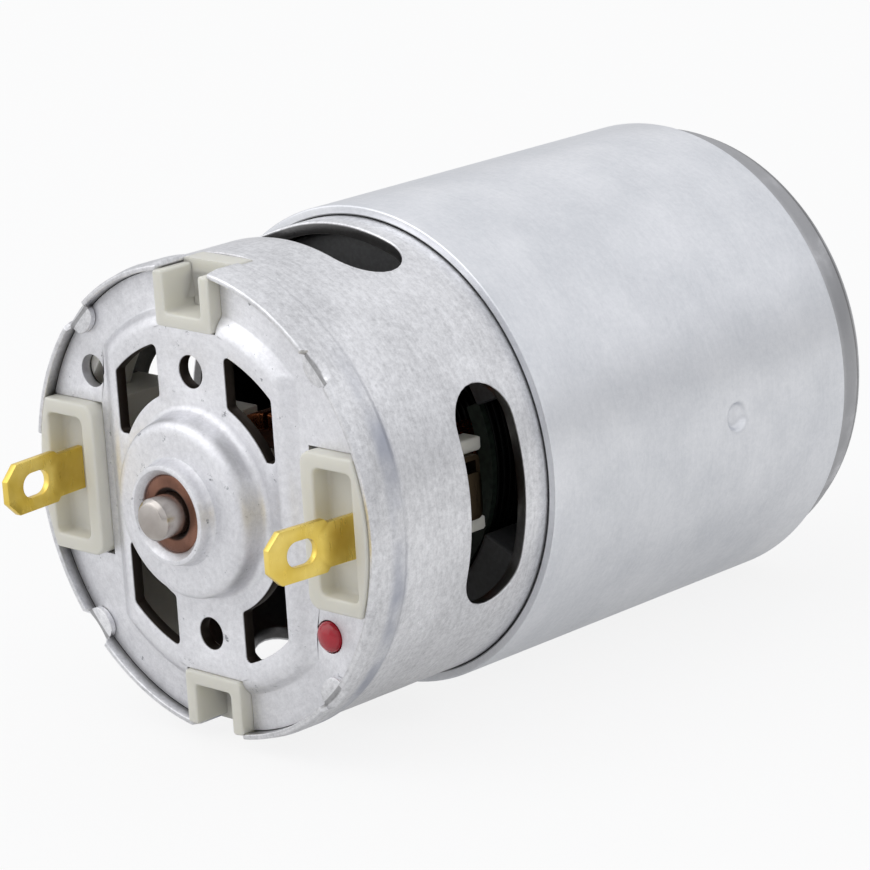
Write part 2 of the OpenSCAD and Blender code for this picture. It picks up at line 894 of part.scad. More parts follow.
// Self-aligning bush around the origin, its outer face towards local +Z
module bush() {
    difference() {
        intersection() {
            sphere(r = bush_r);
            disc(bush_r, -bush_in_len, bush_face_h);
        }
        disc(shaft_r + run_fit, -bush_r, bush_r);
        translate([0, 0, bush_face_h - bush_chamfer])
            cylinder(r1 = shaft_r, r2 = shaft_r + bush_chamfer + fit, h = bush_chamfer + fit);
    }
}

// Dished spring ring that holds a bush from the inside
module bush_retainer(cavity_r) {
    edge_r = cavity_r - fit;
    dish_h = 1.65;
    inner_h = -dish_h;
    inner_r = sqrt(bush_r * bush_r - pow(inner_h + retainer_t, 2)) + fit;
    rotate_extrude() polygon([
        [inner_r, inner_h], [edge_r, -retainer_t], [edge_r, 0], [inner_r, inner_h + retainer_t]
    ]);
}

module rear_bearing() {
    color([0.55, 0.42, 0.38])
    stand()
    translate([0, 0, rear_bush_z]) bush();
}

module rear_bearing_retainer() {
    color([0.7, 0.71, 0.73])
    stand()
    translate([0, 0, rear_bush_z]) bush_retainer(rear_cavity_r);
}

module front_bearing() {
    color([0.55, 0.42, 0.38])
    stand()
    translate([0, 0, front_bush_z]) mirror([0, 0, 1]) bush();
}

module front_bearing_retainer() {
    color([0.7, 0.71, 0.73])
    stand()
    translate([0, 0, front_bush_z]) mirror([0, 0, 1]) bush_retainer(boss_d / 2 - can_wall);
}

module shaft() {
    back = can_len + shaft_rear;
    groove_r = shaft_r - groove_h;
    groove_back = -boss_h - fit;
    color([0.68, 0.66, 0.63])
    stand()
    rotate_extrude() polygon([
        [0, -shaft_front], [shaft_r - shaft_chamfer, -shaft_front], [shaft_r, shaft_chamfer - shaft_front],
        [shaft_r, groove_back - groove_w], [groove_r, groove_back - groove_w],
        [groove_r, groove_back], [shaft_r, groove_back],
        [shaft_r, back - shaft_chamfer], [shaft_r - shaft_chamfer, back], [0, back]
    ]);
}

// Outline of the laminations: middle, necks and shoes
module stack_outline(inset) {
    shoe_angle = 180 / poles - asin(pole_gap / (2 * rotor_r));
    difference() {
        union() {
            circle(r = hub_r - inset);
            for (pole = [0 : poles - 1]) {
                rotate([0, 0, pole_turn(pole)]) {
                    translate([0, inset - neck_w / 2]) square([rotor_r - shoe_t / 2, neck_w - 2 * inset]);
                    ring_slice(rotor_r - shoe_t + inset, rotor_r - inset, shoe_angle - inset);
                }
            }
        }
        circle(r = shaft_r + press_fit);
    }
}

// Direction of a pole, the first one upwards
function pole_turn(pole) = 90 + 360 * pole / poles;

module lamination_stack() {
    color([0.3, 0.31, 0.32])
    stand()
    translate([0, 0, stack_front]) linear_extrude(stack_len) stack_outline(0);
}

// Fibre plates between the laminations and the windings
module end_insulators() {
    color([0.25, 0.32, 0.26])
    stand()
    for (from = [stack_front - insulator_t, stack_back]) {
        translate([0, 0, from]) linear_extrude(insulator_t) stack_outline(insulator_inset);
    }
}

// A winding runs round its pole's neck: outwards in the first layer, back in the second.
// A half turn has loop_rings / 2 rings: three along the neck, four at each corner, one between.
loop_rings = 24;
turns = 2 * layer_turns;
last_ring = (turns - 1) * loop_rings + loop_rings / 2 + 2;
side_first = neck_w / 2 + liner_t + wire_d / 2;
end_first = stack_len / 2 + insulator_t + winding_air + wire_d / 2;
corner_first = 0.9;

// How far the winding has climbed to its second layer after t turns
function layer_share(t) =
    let (s = min(max(2 * (t - layer_turns) + 0.5, 0), 1))
    s * s * (3 - 2 * s);

// Point of a half turn: j-th ring, half width a, half length b, corner radius c
function half_turn_point(j, a, b, c) =
    j < 3 ? [a, (1 - j) * 0.6 * (b - c)] :
    j < 7 ? [a - c + c * cos(30 * (j - 3)), c - b - c * sin(30 * (j - 3))] :
    j == 7 ? [0, -b] :
    [c - a - c * cos(30 * (11 - j)), c - b - c * sin(30 * (11 - j))];

function winding_point(n) =
    let (
        t = n / loop_rings,
        step = wire_pitch * layer_share(t),
        half = loop_rings / 2,
        j = n % loop_rings,
        sign = j < half ? 1 : -1,
        p = half_turn_point(j % half, side_first + step, end_first + step, corner_first + step)
    )
    [winding_in + wire_pitch * min(t, turns - t), sign * p[0], sign * p[1]];

// Straight leads run to the commutator's flange, square to it
lead_end = flange_front - stack_mid;
first_point = winding_point(0);
last_point = winding_point(last_ring);
winding_path = concat(
    [[first_point[0], first_point[1], lead_end], [first_point[0], first_point[1], lead_end - wire_d]],
    [for (n = [0 : last_ring]) winding_point(n)],
    [[last_point[0], last_point[1], lead_end - wire_d], [last_point[0], last_point[1], lead_end]]
);

// Winding around one pole
module coil(pole) {
    color([0.62, 0.3, 0.16])
    stand()
    rotate([0, 0, pole_turn(pole)]) translate([0, 0, stack_mid]) tube(winding_path, wire_d, [1, 0, 0]);
}

module coil_1() {
    coil(0);
}

module coil_2() {
    coil(1);
}

module coil_3() {
    coil(2);
}

// Round tube of six sides along a path; up is a direction that the path never runs along,
// so a spring, whose ends run along X, takes one that leans a little off X
tube_sides = 6;

function unit(v) = v / norm(v);

function tangent(path, i) = unit(path[min(i + 1, len(path) - 1)] - path[max(i - 1, 0)]);

function tube_ring(path, i, r, up) =
    let (
        t = tangent(path, i),
        u = unit(cross(t, up)),
        v = cross(u, t)
    )
    [for (k = [0 : tube_sides - 1]) path[i] + r * (cos(60 * k) * u + sin(60 * k) * v)];

module tube(path, d, up) {
    count = len(path);
    points = [for (i = [0 : count - 1]) each tube_ring(path, i, d / 2, up)];
    sides = [
        for (i = [0 : count - 2], k = [0 : tube_sides - 1])
            let (
                a = i * tube_sides + k,
                b = i * tube_sides + (k + 1) % tube_sides
            )
            each [[a, b, b + tube_sides], [a, b + tube_sides, a + tube_sides]]
    ];
    start_cap = [for (k = [1 : tube_sides - 2]) [0, k + 1, k]];
    last = (count - 1) * tube_sides;
    end_cap = [for (k = [1 : tube_sides - 2]) [last, last + k, last + k + 1]];
    polyhedron(points = points, faces = concat(sides, start_cap, end_cap), convexity = 10);
}

// Distance from point p to the stretch from a to b
function stretch_distance(p, a, b) =
    let (
        along = b - a,
        s = min(max((p - a) * along / (along * along), 0), 1)
    )
    norm(p - a - s * along);

// Least gap of a tube to itself, leaving out the skip rings next to each ring
function least_gap(path, d, skip) =
    min([
        for (i = [0 : len(path) - 1], k = [0 : len(path) - 2])
            if (abs(i - k) > skip && abs(i - k - 1) > skip)
                stretch_distance(path[i], path[k], path[k + 1])
    ]) - d;

echo(winding_gap = least_gap(winding_path, wire_d, 6));
echo(spring_gap = least_gap(spring_path, spring_wire_d, 4));

// Moulded core that carries the commutator's copper
module commutator_hub() {
    color([0.35, 0.2, 0.14])
    stand()
    pipe(comm_r - comm_t, shaft_r + press_fit, flange_front - hub_lip, comm_back);
}

// Three copper segments, each with its part of the flange
module commutator_segments() {
    color([0.72, 0.42, 0.25])
    stand()
    difference() {
        union() {
            disc(comm_r, flange_front, comm_back);
            disc(comm_flange_d / 2, flange_front, flange_back);
        }
        disc(comm_r - comm_t, flange_front - over, comm_back + over);
        for (pole = [0 : poles - 1]) {
            rotate([0, 0, pole_turn(pole)])
                block(
                    [0, -comm_gap / 2, flange_front - over],
                    [comm_flange_d, comm_gap / 2, comm_back + over]
                );
        }
    }
}

module rear_spacer() {
    color([0.85, 0.83, 0.76])
    stand()
    pipe(spacer_d / 2, shaft_r + press_fit, comm_back, rear_washer_front);
}

module front_spacer() {
    color([0.85, 0.83, 0.76])
    stand()
    pipe(spacer_d / 2, shaft_r + press_fit, front_washer_back, stack_front - insulator_t);
}

// Two thin washers, one on the other
module washer_pair(from) {
    for (n = [0, 1]) {
        pipe(washer_d / 2, shaft_r + press_fit, from + n * washer_t, from + (n + 1) * washer_t);
    }
}

module rear_washers() {
    color([0.5, 0.32, 0.2])
    stand()
    washer_pair(rear_washer_front);
}

module front_washers() {
    color([0.5, 0.32, 0.2])
    stand()
    washer_pair(front_washer_front);
}

can();
flux_ring();
magnet_upper();
magnet_lower();
magnet_clips();
end_plate();
polarity_mark();
brush_holder();
terminal_left();
terminal_right();
brush_box_left();
brush_box_right();
brush_left();
brush_right();
brush_spring_left();
brush_spring_right();
rear_bearing();
rear_bearing_retainer();
front_bearing();
front_bearing_retainer();
shaft();
lamination_stack();
end_insulators();
coil_1();
coil_2();
coil_3();
commutator_hub();
commutator_segments();
rear_spacer();
rear_washers();
front_spacer();
front_washers();
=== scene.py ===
import bpy
import bmesh
from math import acos, asin, atan2, cos, degrees, pi, radians, sin, sqrt, tan
from mathutils import Matrix, Vector


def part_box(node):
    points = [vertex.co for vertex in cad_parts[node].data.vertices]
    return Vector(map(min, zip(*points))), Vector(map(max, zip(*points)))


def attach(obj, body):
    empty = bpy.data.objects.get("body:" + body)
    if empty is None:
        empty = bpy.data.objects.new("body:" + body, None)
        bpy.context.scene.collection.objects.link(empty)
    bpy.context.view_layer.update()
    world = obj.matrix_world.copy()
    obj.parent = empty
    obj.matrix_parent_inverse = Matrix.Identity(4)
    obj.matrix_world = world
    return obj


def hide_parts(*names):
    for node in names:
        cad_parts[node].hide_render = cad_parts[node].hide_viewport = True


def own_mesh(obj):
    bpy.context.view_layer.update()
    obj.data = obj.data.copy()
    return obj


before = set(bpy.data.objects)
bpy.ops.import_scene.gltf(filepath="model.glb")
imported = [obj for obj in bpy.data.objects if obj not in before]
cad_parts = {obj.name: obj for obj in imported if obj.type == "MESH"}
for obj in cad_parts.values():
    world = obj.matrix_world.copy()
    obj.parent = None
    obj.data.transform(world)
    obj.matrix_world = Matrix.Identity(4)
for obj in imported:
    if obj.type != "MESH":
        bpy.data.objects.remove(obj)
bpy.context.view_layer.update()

# Can. Deep drawn from 1 mm steel sheet and zinc plated; the front carries the bearing boss,
# the screw holes and the air holes. Four air slots and the rim's notches are punched out, and
# four tabs of the rim are staked over the end plate. Lengths in mm, from the mounting face.
CAN_R, BORE_R, CAN_LEN, WALL = 17.9, 16.9, 57.0, 1.0
RIM_R, RIM_BORE_R, RIM_FOOT, RIM_FOOT_TOP = 18.1, 17.5, 53.5, 53.95
PLATE_FRONT, PLATE_BACK = 55.0, 56.0
BOSS_R, BOSS_H, BOSS_BORE_R, FRONT_BORE_R = 6.5, 4.5, 5.5, 3.3
SLOT_MID, SLOT_HALF_W, SLOT_HALF_LEN = 43.9, 2.9, 8.3
SLOT_FIELD_H, SLOT_FIELD_TURN = 4.3, 32.5
TAB_TURNS = (42.7, 134.3, 222.1, 314.6)
TAB_HALF_W, TAB_TOP, TAB_REACH, TAB_SLANT, TAB_DENT = 1.35, 56.5, 1.2, 0.9, 0.4
KEY_NOTCH_HALF_W, KEY_NOTCH_FROM = 2.8, 52.2
SIDE_NOTCH_HALF_W, SIDE_NOTCH_SHIFT = 2.6, 0.3
SCREW_R, SCREW_AT, SCREW_FIELD, SCREW_FIELD_TURN = 1.25, 12.5, (10.2, 14.6), 10
VENT_IN, VENT_OUT, VENT_HALF_TURN = 9.0, 13.0, 17.5


def rounded(corners, steps=4):
    """Closed outline of (x, y, radius) corners, each rounded to its radius in a few steps."""
    points = []
    for i, (x, y, r) in enumerate(corners):
        here = Vector((x, y))
        if r == 0:
            points.append(here)
            continue
        to_last = (Vector(corners[i - 1][:2]) - here).normalized()
        to_next = (Vector(corners[(i + 1) % len(corners)][:2]) - here).normalized()
        half = to_last.angle(to_next) / 2
        middle = here + (to_last + to_next).normalized() * (r / sin(half))
        start = here + to_last * (r / tan(half)) - middle
        end = here + to_next * (r / tan(half)) - middle
        sweep = atan2(start.x * end.y - start.y * end.x, start.dot(end))
        for k in range(steps + 1):
            points.append(middle + Matrix.Rotation(sweep * k / steps, 2) @ start)
    return points


def columns(marks, widest):
    """Directions round the shaft in degrees: the marks, with even steps between them."""
    marks = sorted({round(m % 360, 3) for m in marks})
    found = []
    for a, b in zip(marks, marks[1:] + [marks[0] + 360]):
        count = max(1, int((b - a) / widest + 0.99))
        found += [a + (b - a) * k / count for k in range(count)]
    return found


def put(v, r, z):
    """Moves a vertex to a radius and a height, in its own direction from the shaft."""
    v.co = (*(v.co.xy.normalized() * r), z)


def verts_in(geom):
    return [v for v in geom if isinstance(v, bmesh.types.BMVert)]


def next_row(bm, edges, move, *step):
    """Extrudes a row of edges, moves each new vertex and returns the new row."""
    out = bmesh.ops.extrude_edge_only(bm, edges=edges)["geom"]
    for v in verts_in(out):
        move(v, *step)
    return [e for e in out if isinstance(e, bmesh.types.BMEdge)]


def carried(rows, turns):
    """Rows of (radius, height) carried round the shaft; also returns the first and last edges."""
    bm = bmesh.new()
    ring = bmesh.ops.create_circle(bm, segments=len(turns), radius=1)["verts"]
    for v, a in zip(ring, turns):
        v.co = (cos(radians(a)), sin(radians(a)), 0)
        put(v, *rows[0])
    first = edges = bm.edges[:]
    for row in rows[1:]:
        edges = next_row(bm, edges, put, *row)
    return bm, first, edges


def turned(rows, turns):
    """Closed profile of (radius, height) rows, carried round the shaft."""
    bm, first, last = carried(rows, turns)
    bmesh.ops.bridge_loops(bm, edges=first + last)
    return bm


def turn_of(co):
    return degrees(atan2(co.y, co.x))


def apart(a, b):
    return abs((a - b + 180) % 360 - 180)


def near(value):
    """A span that picks the faces at a radius or a height."""
    return value - 0.1, value + 0.1


def at_height(e, z):
    return all(abs(v.co.z - z) < 0.01 for v in e.verts)


def cells(bm, r, z, turn=0, half=180):
    """Faces whose middle lies between two radii, two heights and two directions."""
    found = []
    for f in bm.faces:
        m = f.calc_center_median()
        if r[0] < m.xy.length < r[1] and z[0] < m.z < z[1] and apart(turn_of(m), turn) < half:
            found.append(f)
    return found


def cut(bm, faces):
    """Deletes faces and returns the edges round the opening."""
    gone = set(faces)
    border = {e for f in faces for e in f.edges if sum(g in gone for g in e.link_faces) == 1}
    border = [e for e in border if len(e.link_faces) > 1]
    bmesh.ops.delete(bm, geom=list(gone), context="FACES")
    return border


def sink(bm, faces, place, steps):
    """Cuts faces out and lays rows of new faces inwards from the opening's edge."""
    edges = cut(bm, faces)
    for step in steps:
        edges = next_row(bm, edges, place, *step)
    return edges


def on_slot(turn):
    """Places a vertex on the round-ended outline of a slot, widened by e, at radius r."""
    out = Vector((cos(radians(turn)), sin(radians(turn))))
    side = Vector((-out.y, out.x))
    straight = SLOT_HALF_LEN - SLOT_HALF_W

    def place(v, e, r):
        p = Vector((v.co.xy.dot(side), v.co.z - SLOT_MID))
        core = Vector((max(-straight, min(straight, p.x)), 0))
        p = core + (p - core).normalized() * (SLOT_HALF_W + e)
        v.co = (*(out * sqrt(r * r - p.x * p.x) + side * p.x), SLOT_MID + p.y)

    return place


def on_circle(x, radius):
    """Places a vertex on a circle round (x, 0), widened by e, at height z."""
    middle = Vector((x, 0))

    def place(v, e, z):
        v.co = (*(middle + (v.co.xy - middle).normalized() * (radius + e)), z)

    return place


def round_edge(size, at, inwards):
    """Steps (e, level) of a quarter round from a flat face at a level into an opening."""
    return [(size * (1 - sin(radians(a))), at + inwards * size * (1 - cos(radians(a))))
            for a in (0, 30, 60, 90)]


def pierce(bm, place, *sides):
    """Opens a wall from both sides, each with its faces and the steps of its rounded edge."""
    edges = []
    for faces, steps in sides:
        edges += sink(bm, faces, place, steps)
    bmesh.ops.bridge_loops(bm, edges=edges)


def close_holes(bm):
    bmesh.ops.holes_fill(bm, edges=[e for e in bm.edges if e.is_boundary], sides=0)


def soften(bm, size, sharper_than=50, keep=lambda e: True, segments=2):
    """Bevels the edges sharper than an angle in degrees."""
    sharp = [e for e in bm.edges if e.is_manifold
             and degrees(e.calc_face_angle(0)) > sharper_than and keep(e)]
    bmesh.ops.bevel(bm, geom=sharp, offset=size, offset_type="OFFSET", segments=segments,
                    profile=0.5, affect="EDGES", clamp_overlap=False, material=-1,
                    loop_slide=False)


def rotate_all(bm, matrix):
    bmesh.ops.rotate(bm, verts=bm.verts, cent=(0, 0, 0), matrix=matrix)


def tied(mesh, name, material, body, nodes):
    """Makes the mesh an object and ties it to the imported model."""
    mesh.materials.append(material)
    obj = bpy.data.objects.new(name, mesh)
    bpy.context.scene.collection.objects.link(obj)
    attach(obj, body)
    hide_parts(*nodes)
    return obj


def finished(bm, name, material, slot, body, *nodes, smooth=40):
    """Turns the shaft to Y and the lengths to metres, and hands the piece over."""
    bmesh.ops.remove_doubles(bm, verts=bm.verts, dist=0.0005)
    bmesh.ops.recalc_face_normals(bm, faces=bm.faces)
    rotate_all(bm, Matrix.Rotation(pi / 2, 3, "X"))
    bmesh.ops.scale(bm, verts=bm.verts, vec=(0.001, 0.001, 0.001))
    mesh = bpy.data.meshes.new(name)
    bm.to_mesh(mesh)
    bm.free()
    for f in mesh.polygons:
        f.use_smooth = True
    mesh.set_sharp_from_angle(angle=radians(smooth))
    tied(mesh, name, material, body, nodes)


def linear(hex_colour):
    """sRGB hex colour to linear RGBA."""
    parts = [int(hex_colour[i:i + 2], 16) / 255 for i in (1, 3, 5)]
    return (*(c / 12.92 if c < 0.04045 else ((c + 0.055) / 1.055) ** 2.4 for c in parts), 1)


def wire(node, inputs):
    """Sets a node's inputs, each to a value, an output, or the first output of a node."""
    for key, value in inputs.items():
        if isinstance(value, bpy.types.Node):
            value = value.outputs[0]
        if isinstance(value, bpy.types.NodeSocket):
            node.id_data.links.new(value, node.inputs[key])
        else:
            node.inputs[key].default_value = value


def add(tree, kind, inputs=(), **settings):
    """Adds a shader node with its settings and inputs."""
    made = tree.nodes.new("ShaderNode" + kind)
    for key, value in settings.items():
        setattr(made, key, value)
    wire(made, dict(inputs))
    return made


def new_material(name):
    material = bpy.data.materials.new(name)
    material.use_nodes = True
    return material, material.node_tree, material.node_tree.nodes["Principled BSDF"]


def point(tree):
    """The point on the motor, in mm."""
    place = add(tree, "TexCoord").outputs["Object"]
    return add(tree, "VectorMath", {0: place, "Scale": 1000.0}, operation="SCALE")


def whereabouts(tree):
    """In mm: to the right, to either side, up, along the shaft (minus is rearward), and off it."""
    axes = add(tree, "SeparateXYZ", {0: point(tree)}).outputs
    aside = add(tree, "Math", {0: axes["X"]}, operation="ABSOLUTE")
    flat = add(tree, "CombineXYZ", {0: axes["X"], 1: axes["Z"]})
    off = add(tree, "VectorMath", {0: flat}, operation="LENGTH")
    return {"right": axes["X"], "aside": aside, "up": axes["Z"], "along": axes["Y"],
            "off": off.outputs["Value"]}


def fade(tree, share, zones):
    """The share times a soft step for each zone. A zone is an output, or the name of one of
    the whereabouts, and the two values between which its step climbs from 0 to 1."""
    at = whereabouts(tree)
    for value, start, end in zones:
        value = at[value] if isinstance(value, str) else value
        step = add(tree, "MapRange", {"Value": value, "From Min": start, "From Max": end},
                   interpolation_type="SMOOTHSTEP")
        share = add(tree, "Math", {0: step, 1: share}, operation="MULTIPLY")
    return share


def stain_and_shade(material, hex_colour, *zones, share=1.0):
    """Lays a colour over a material's own one, by a share, where all of the zones hold; for stains and
    wear, and for painted shade.
    """
    tree = material.node_tree
    surface = tree.nodes["Principled BSDF"]
    own = surface.inputs["Base Color"].links[0].from_socket
    # The sockets of a Mix node share their names: 6, 7 and 2 are its colours.
    share = fade(tree, share, zones)
    laid = add(tree, "Mix", {0: share, 6: own, 7: linear(hex_colour)}, data_type="RGBA")
    wire(surface, {"Base Color": laid.outputs[2]})


def plated_steel(name, colours, rough, cloud_share, scuffs):
    """Zinc-plated sheet steel: a fine crystal grain over faint clouds, short scratches that run
    round the shaft, and a few dark scuffs."""
    material, tree, surface = new_material(name)
    place, at = point(tree), whereabouts(tree)
    turn = add(tree, "Math", {0: at["up"], 1: at["right"]}, operation="ARCTAN2")
    outside_r = 18.0
    arc_length = add(tree, "Math", {0: turn, 1: outside_r}, operation="MULTIPLY")
    across = add(tree, "CombineXYZ", {0: arc_length, 1: at["along"], 2: at["off"]})
    drawn = add(tree, "Mapping", {"Vector": across, "Scale": (0.15, 1, 1)})
    patterns = ((drawn, 0.3, 5.0, 0.7), (place, 6, 4.0, 0.5), (place, 0.45, 5.0, 0.8),
                (place, 1.1, 6.0, 0.75))
    scratch, cloud, grain, spot = [add(tree, "TexNoise", {
        "Vector": vector, "Scale": 1 / size, "Detail": detail, "Roughness": broken})
        for vector, size, detail, broken in patterns]
    fine = add(tree, "Mix", {"Factor": 0.3, "A": grain, "B": scratch}, data_type="FLOAT")
    shade = add(tree, "Mix", {"Factor": cloud_share, "A": fine, "B": cloud}, data_type="FLOAT")
    low, high = 0.38, 0.62
    tint = add(tree, "ValToRGB", {"Fac": shade})
    for element, colour, level in zip(tint.color_ramp.elements, colours, (low, high)):
        element.color, element.position = linear(colour), level
    sheen = add(tree, "MapRange", {"Value": shade, "From Min": low, "From Max": high,
                "To Min": rough[1], "To Max": rough[0]})
    raised = add(tree, "Bump", {"Height": fine, "Strength": 0.55, "Distance": 0.00003})
    wire(surface, {"Metallic": 1.0, "Base Color": tint, "Roughness": sheen, "Normal": raised})
    stain_and_shade(material, "#6e7076", (spot, 0.62, 0.7), share=scuffs)
    return material


# The grain makes a soft sparkle. The rolled band behind the rim is darker and bluish except on
# top, and the front corner darker grey, both in blotches. Painted shade makes the inside and the
# cut edges near black, and darkens the rim's inner wall towards its foot.
can_steel = plated_steel("zinc-plated drawn steel", ("#c4c4c6", "#f0f0f2"), (0.27, 0.42), 0.25, 0.25)
tree = can_steel.node_tree
blotch = add(tree, "TexNoise", {"Vector": point(tree), "Scale": 1 / 7, "Detail": 3.0})
stain_and_shade(can_steel, "#aaadb8", ("along", -55.6, -54.6), ("along", -53.2, -53.8), ("up", 14, 7),
        (blotch, 0.32, 0.6))
stain_and_shade(can_steel, "#a2a2a4", ("along", -4.9, -3.4), ("off", 15.8, 17.2), (blotch, 0.2, 0.5))
# Painted shade: near black inside the can and on its cut edges, fading up the rim's inner wall from its
# foot.
oiled = add(tree, "MapRange", {"Value": whereabouts(tree)["along"], "From Min": -56.9,
            "From Max": -56.2, "To Min": 0.1, "To Max": 0.85})
painted_shade_zone = add(tree, "Math", {0: fade(tree, 1.0, [("along", -56.1, -55.9)]),
           1: fade(tree, 1.0, [("off", 17.3, 17.4)])}, operation="MAXIMUM")
dark = add(tree, "Math", {0: oiled, 1: painted_shade_zone}, operation="MULTIPLY")
stain_and_shade(can_steel, "#3c3a38", ("off", 17.78, 17.66), ("along", -1.5, -2), share=dark)

slot_rows = [SLOT_MID + SLOT_FIELD_H * k / 4 for k in range(4, -5, -1)]
outside = [(CAN_R, z, 0) for z in [KEY_NOTCH_FROM] + slot_rows + [30, 20, 10]]
inside = [(BORE_R, z, 0) for z in [10, 20, 30] + slot_rows[::-1] + [KEY_NOTCH_FROM]]
front_rows = [SCREW_FIELD[1], 13.6, VENT_OUT, 12.4, 11.7, 11.0, SCREW_FIELD[0], VENT_IN]
can_rows = rounded(
    inside + [(BORE_R, PLATE_FRONT, 0), (RIM_BORE_R, PLATE_FRONT, 0), (RIM_BORE_R, PLATE_BACK, 0),
              (RIM_BORE_R, TAB_TOP, 0), (RIM_BORE_R, CAN_LEN, 0.1), (RIM_R - 0.2, CAN_LEN, 0.15),
              (RIM_R - 0.1, TAB_TOP, 0), (RIM_R, PLATE_BACK, 0.1), (RIM_R, RIM_FOOT_TOP, 0.3),
              (CAN_R, RIM_FOOT, 0.3)]
    + outside + [(CAN_R, 0, 3.0)] + [(r, 0, 0) for r in front_rows]
    + [(BOSS_R, 0, 0.25), (BOSS_R, -BOSS_H, 0.6), (FRONT_BORE_R, -BOSS_H, 0.15),
       (FRONT_BORE_R, WALL - BOSS_H, 0), (BOSS_BORE_R, WALL - BOSS_H, 0), (BOSS_BORE_R, WALL, 0.2)]
    + [(r, WALL, 0) for r in front_rows[::-1]] + [(BORE_R, WALL, 2.0)], 6)

key_turn = degrees(atan2(KEY_NOTCH_HALF_W, CAN_R))
tab_turn = degrees(atan2(TAB_HALF_W, CAN_R))
side_turn = degrees(atan2(SIDE_NOTCH_HALF_W, CAN_R))
side_middle = 180 - degrees(atan2(SIDE_NOTCH_SHIFT, CAN_R))
notches = [(90, key_turn, KEY_NOTCH_FROM), (270, key_turn, KEY_NOTCH_FROM),
           (side_middle, side_turn, PLATE_BACK)]
notch_sides = [turn + way * half for turn, half, _ in notches for way in (-1, 1)]
marks = [90 * k + a for k in range(4) for a in (-SLOT_FIELD_TURN, -27.5, -10, 0, 10, 27.5, SLOT_FIELD_TURN)]
marks += [t + a * tab_turn for t in TAB_TURNS for a in (-1, -0.85, -0.6, -0.3, 0, 0.3, 0.6, 0.85, 1)]
marks = notch_sides + [m for m in marks if all(apart(m, n) > 1.3 for n in notch_sides)]
bm = turned(can_rows, columns(marks, 2.6))

field = (SLOT_MID - SLOT_FIELD_H, SLOT_MID + SLOT_FIELD_H)
for turn in (0, 90, 180, 270):
    pierce(bm, on_slot(turn),
           (cells(bm, near(CAN_R), field, turn, SLOT_FIELD_TURN), round_edge(0.14, CAN_R, -1)),
           (cells(bm, near(BORE_R), field, turn, SLOT_FIELD_TURN), round_edge(0.1, BORE_R, 1)))
for turn, x in ((0, SCREW_AT), (180, -SCREW_AT)):
    pierce(bm, on_circle(x, SCREW_R),
           (cells(bm, SCREW_FIELD, near(0), turn, SCREW_FIELD_TURN), round_edge(0.12, 0, 1)),
           (cells(bm, SCREW_FIELD, near(WALL), turn, SCREW_FIELD_TURN), round_edge(0.1, WALL, -1)))
for turn in (45, 135, 225, 315):
    pierce(bm, None, (cells(bm, (VENT_IN, VENT_OUT), near(0), turn, VENT_HALF_TURN), ()),
           (cells(bm, (VENT_IN, VENT_OUT), near(WALL), turn, VENT_HALF_TURN), ()))

for turn, half, floor in notches + [(t, tab_turn, TAB_TOP) for t in TAB_TURNS]:
    border = cut(bm, cells(bm, (BORE_R - 0.1, RIM_R + 0.1), (floor, CAN_LEN + 1), turn, half))
    bmesh.ops.bridge_loops(bm, edges=[e for e in border if at_height(e, floor)])
    close_holes(bm)

# Each tab: its tongue bulges inwards over the plate, the notch above it opens a little, and
# the punch has pressed the rim's outside in.
for turn in TAB_TURNS:
    faces = cells(bm, (RIM_BORE_R - 0.05, RIM_BORE_R + 0.05), (PLATE_BACK, TAB_TOP), turn, tab_turn)
    out = bmesh.ops.extrude_face_region(bm, geom=faces)["geom"]
    bmesh.ops.delete(bm, geom=faces, context="FACES")
    for v in verts_in(out):
        aside = min(apart(turn_of(v.co), turn) / tab_turn, 1)
        put(v, RIM_BORE_R - TAB_REACH * (0.3 + 0.7 * sqrt(1 - aside ** 2)), v.co.z)
    for v in bm.verts:
        aside = (turn_of(v.co) - turn + 180) % 360 - 180
        outwards = v.co.xy.length - RIM_BORE_R
        if v.co.z > TAB_TOP + 0.01 and abs(aside) < tab_turn + 0.02:
            slant = TAB_SLANT * (v.co.z - TAB_TOP) / (CAN_LEN - TAB_TOP) * (1 if aside > 0 else -1)
            v.co.xy = Matrix.Rotation(radians(slant), 2) @ v.co.xy
        elif abs(v.co.z - TAB_TOP) < 0.01 and outwards > 0.1 and abs(aside) < tab_turn - 0.02:
            put(v, v.co.xy.length - TAB_DENT * sqrt(1 - (aside / tab_turn) ** 2), v.co.z)


def at_tab(e):
    """True for the edges round a staking tab."""
    reach = tab_turn + TAB_SLANT + 0.1
    return all(v.co.z > PLATE_BACK + 0.01 and any(apart(turn_of(v.co), t) < reach for t in TAB_TURNS)
               for v in e.verts)


def on_tongue(e):
    return all(v.co.z < TAB_TOP + 0.01 and v.co.xy.length < RIM_BORE_R - 0.1 for v in e.verts)


def at_an_end(e):
    return all(v.co.z > 50 or v.co.z < 2 for v in e.verts) and not at_height(e, PLATE_FRONT)


soften(bm, 0.1, 50, lambda e: at_an_end(e) and not at_tab(e))
soften(bm, 0.1, 50, lambda e: at_tab(e) and on_tongue(e))
finished(bm, "can_shell", can_steel, "zinc_plated_steel", "stator", "can")

# Flux ring. A sleeve of 0.75 mm steel rolled round the can to carry the magnets' field; its
# two ends meet in an open seam, and one dimple is punched in it to pin it to the can.
RING_IN_R, RING_R, RING_FRONT, RING_BACK = 17.95, 18.7, 4.75, 38.75
SEAM_TURN, SEAM_HALF = 250, 0.62
DIMPLE_AT, DIMPLE_R, DIMPLE_H, DIMPLE_FIELD, DIMPLE_FIELD_TURN = 17.9, 1.1, 0.6, 2.4, 7.5


def on_dimple(v, e, depth):
    """Places a vertex on a circle round the dimple's middle, on the right of the sleeve."""
    p = Vector((v.co.y, v.co.z - DIMPLE_AT)).normalized() * (DIMPLE_R + e)
    r = RING_R - depth
    v.co = (sqrt(r * r - p.x * p.x), p.x, DIMPLE_AT + p.y)
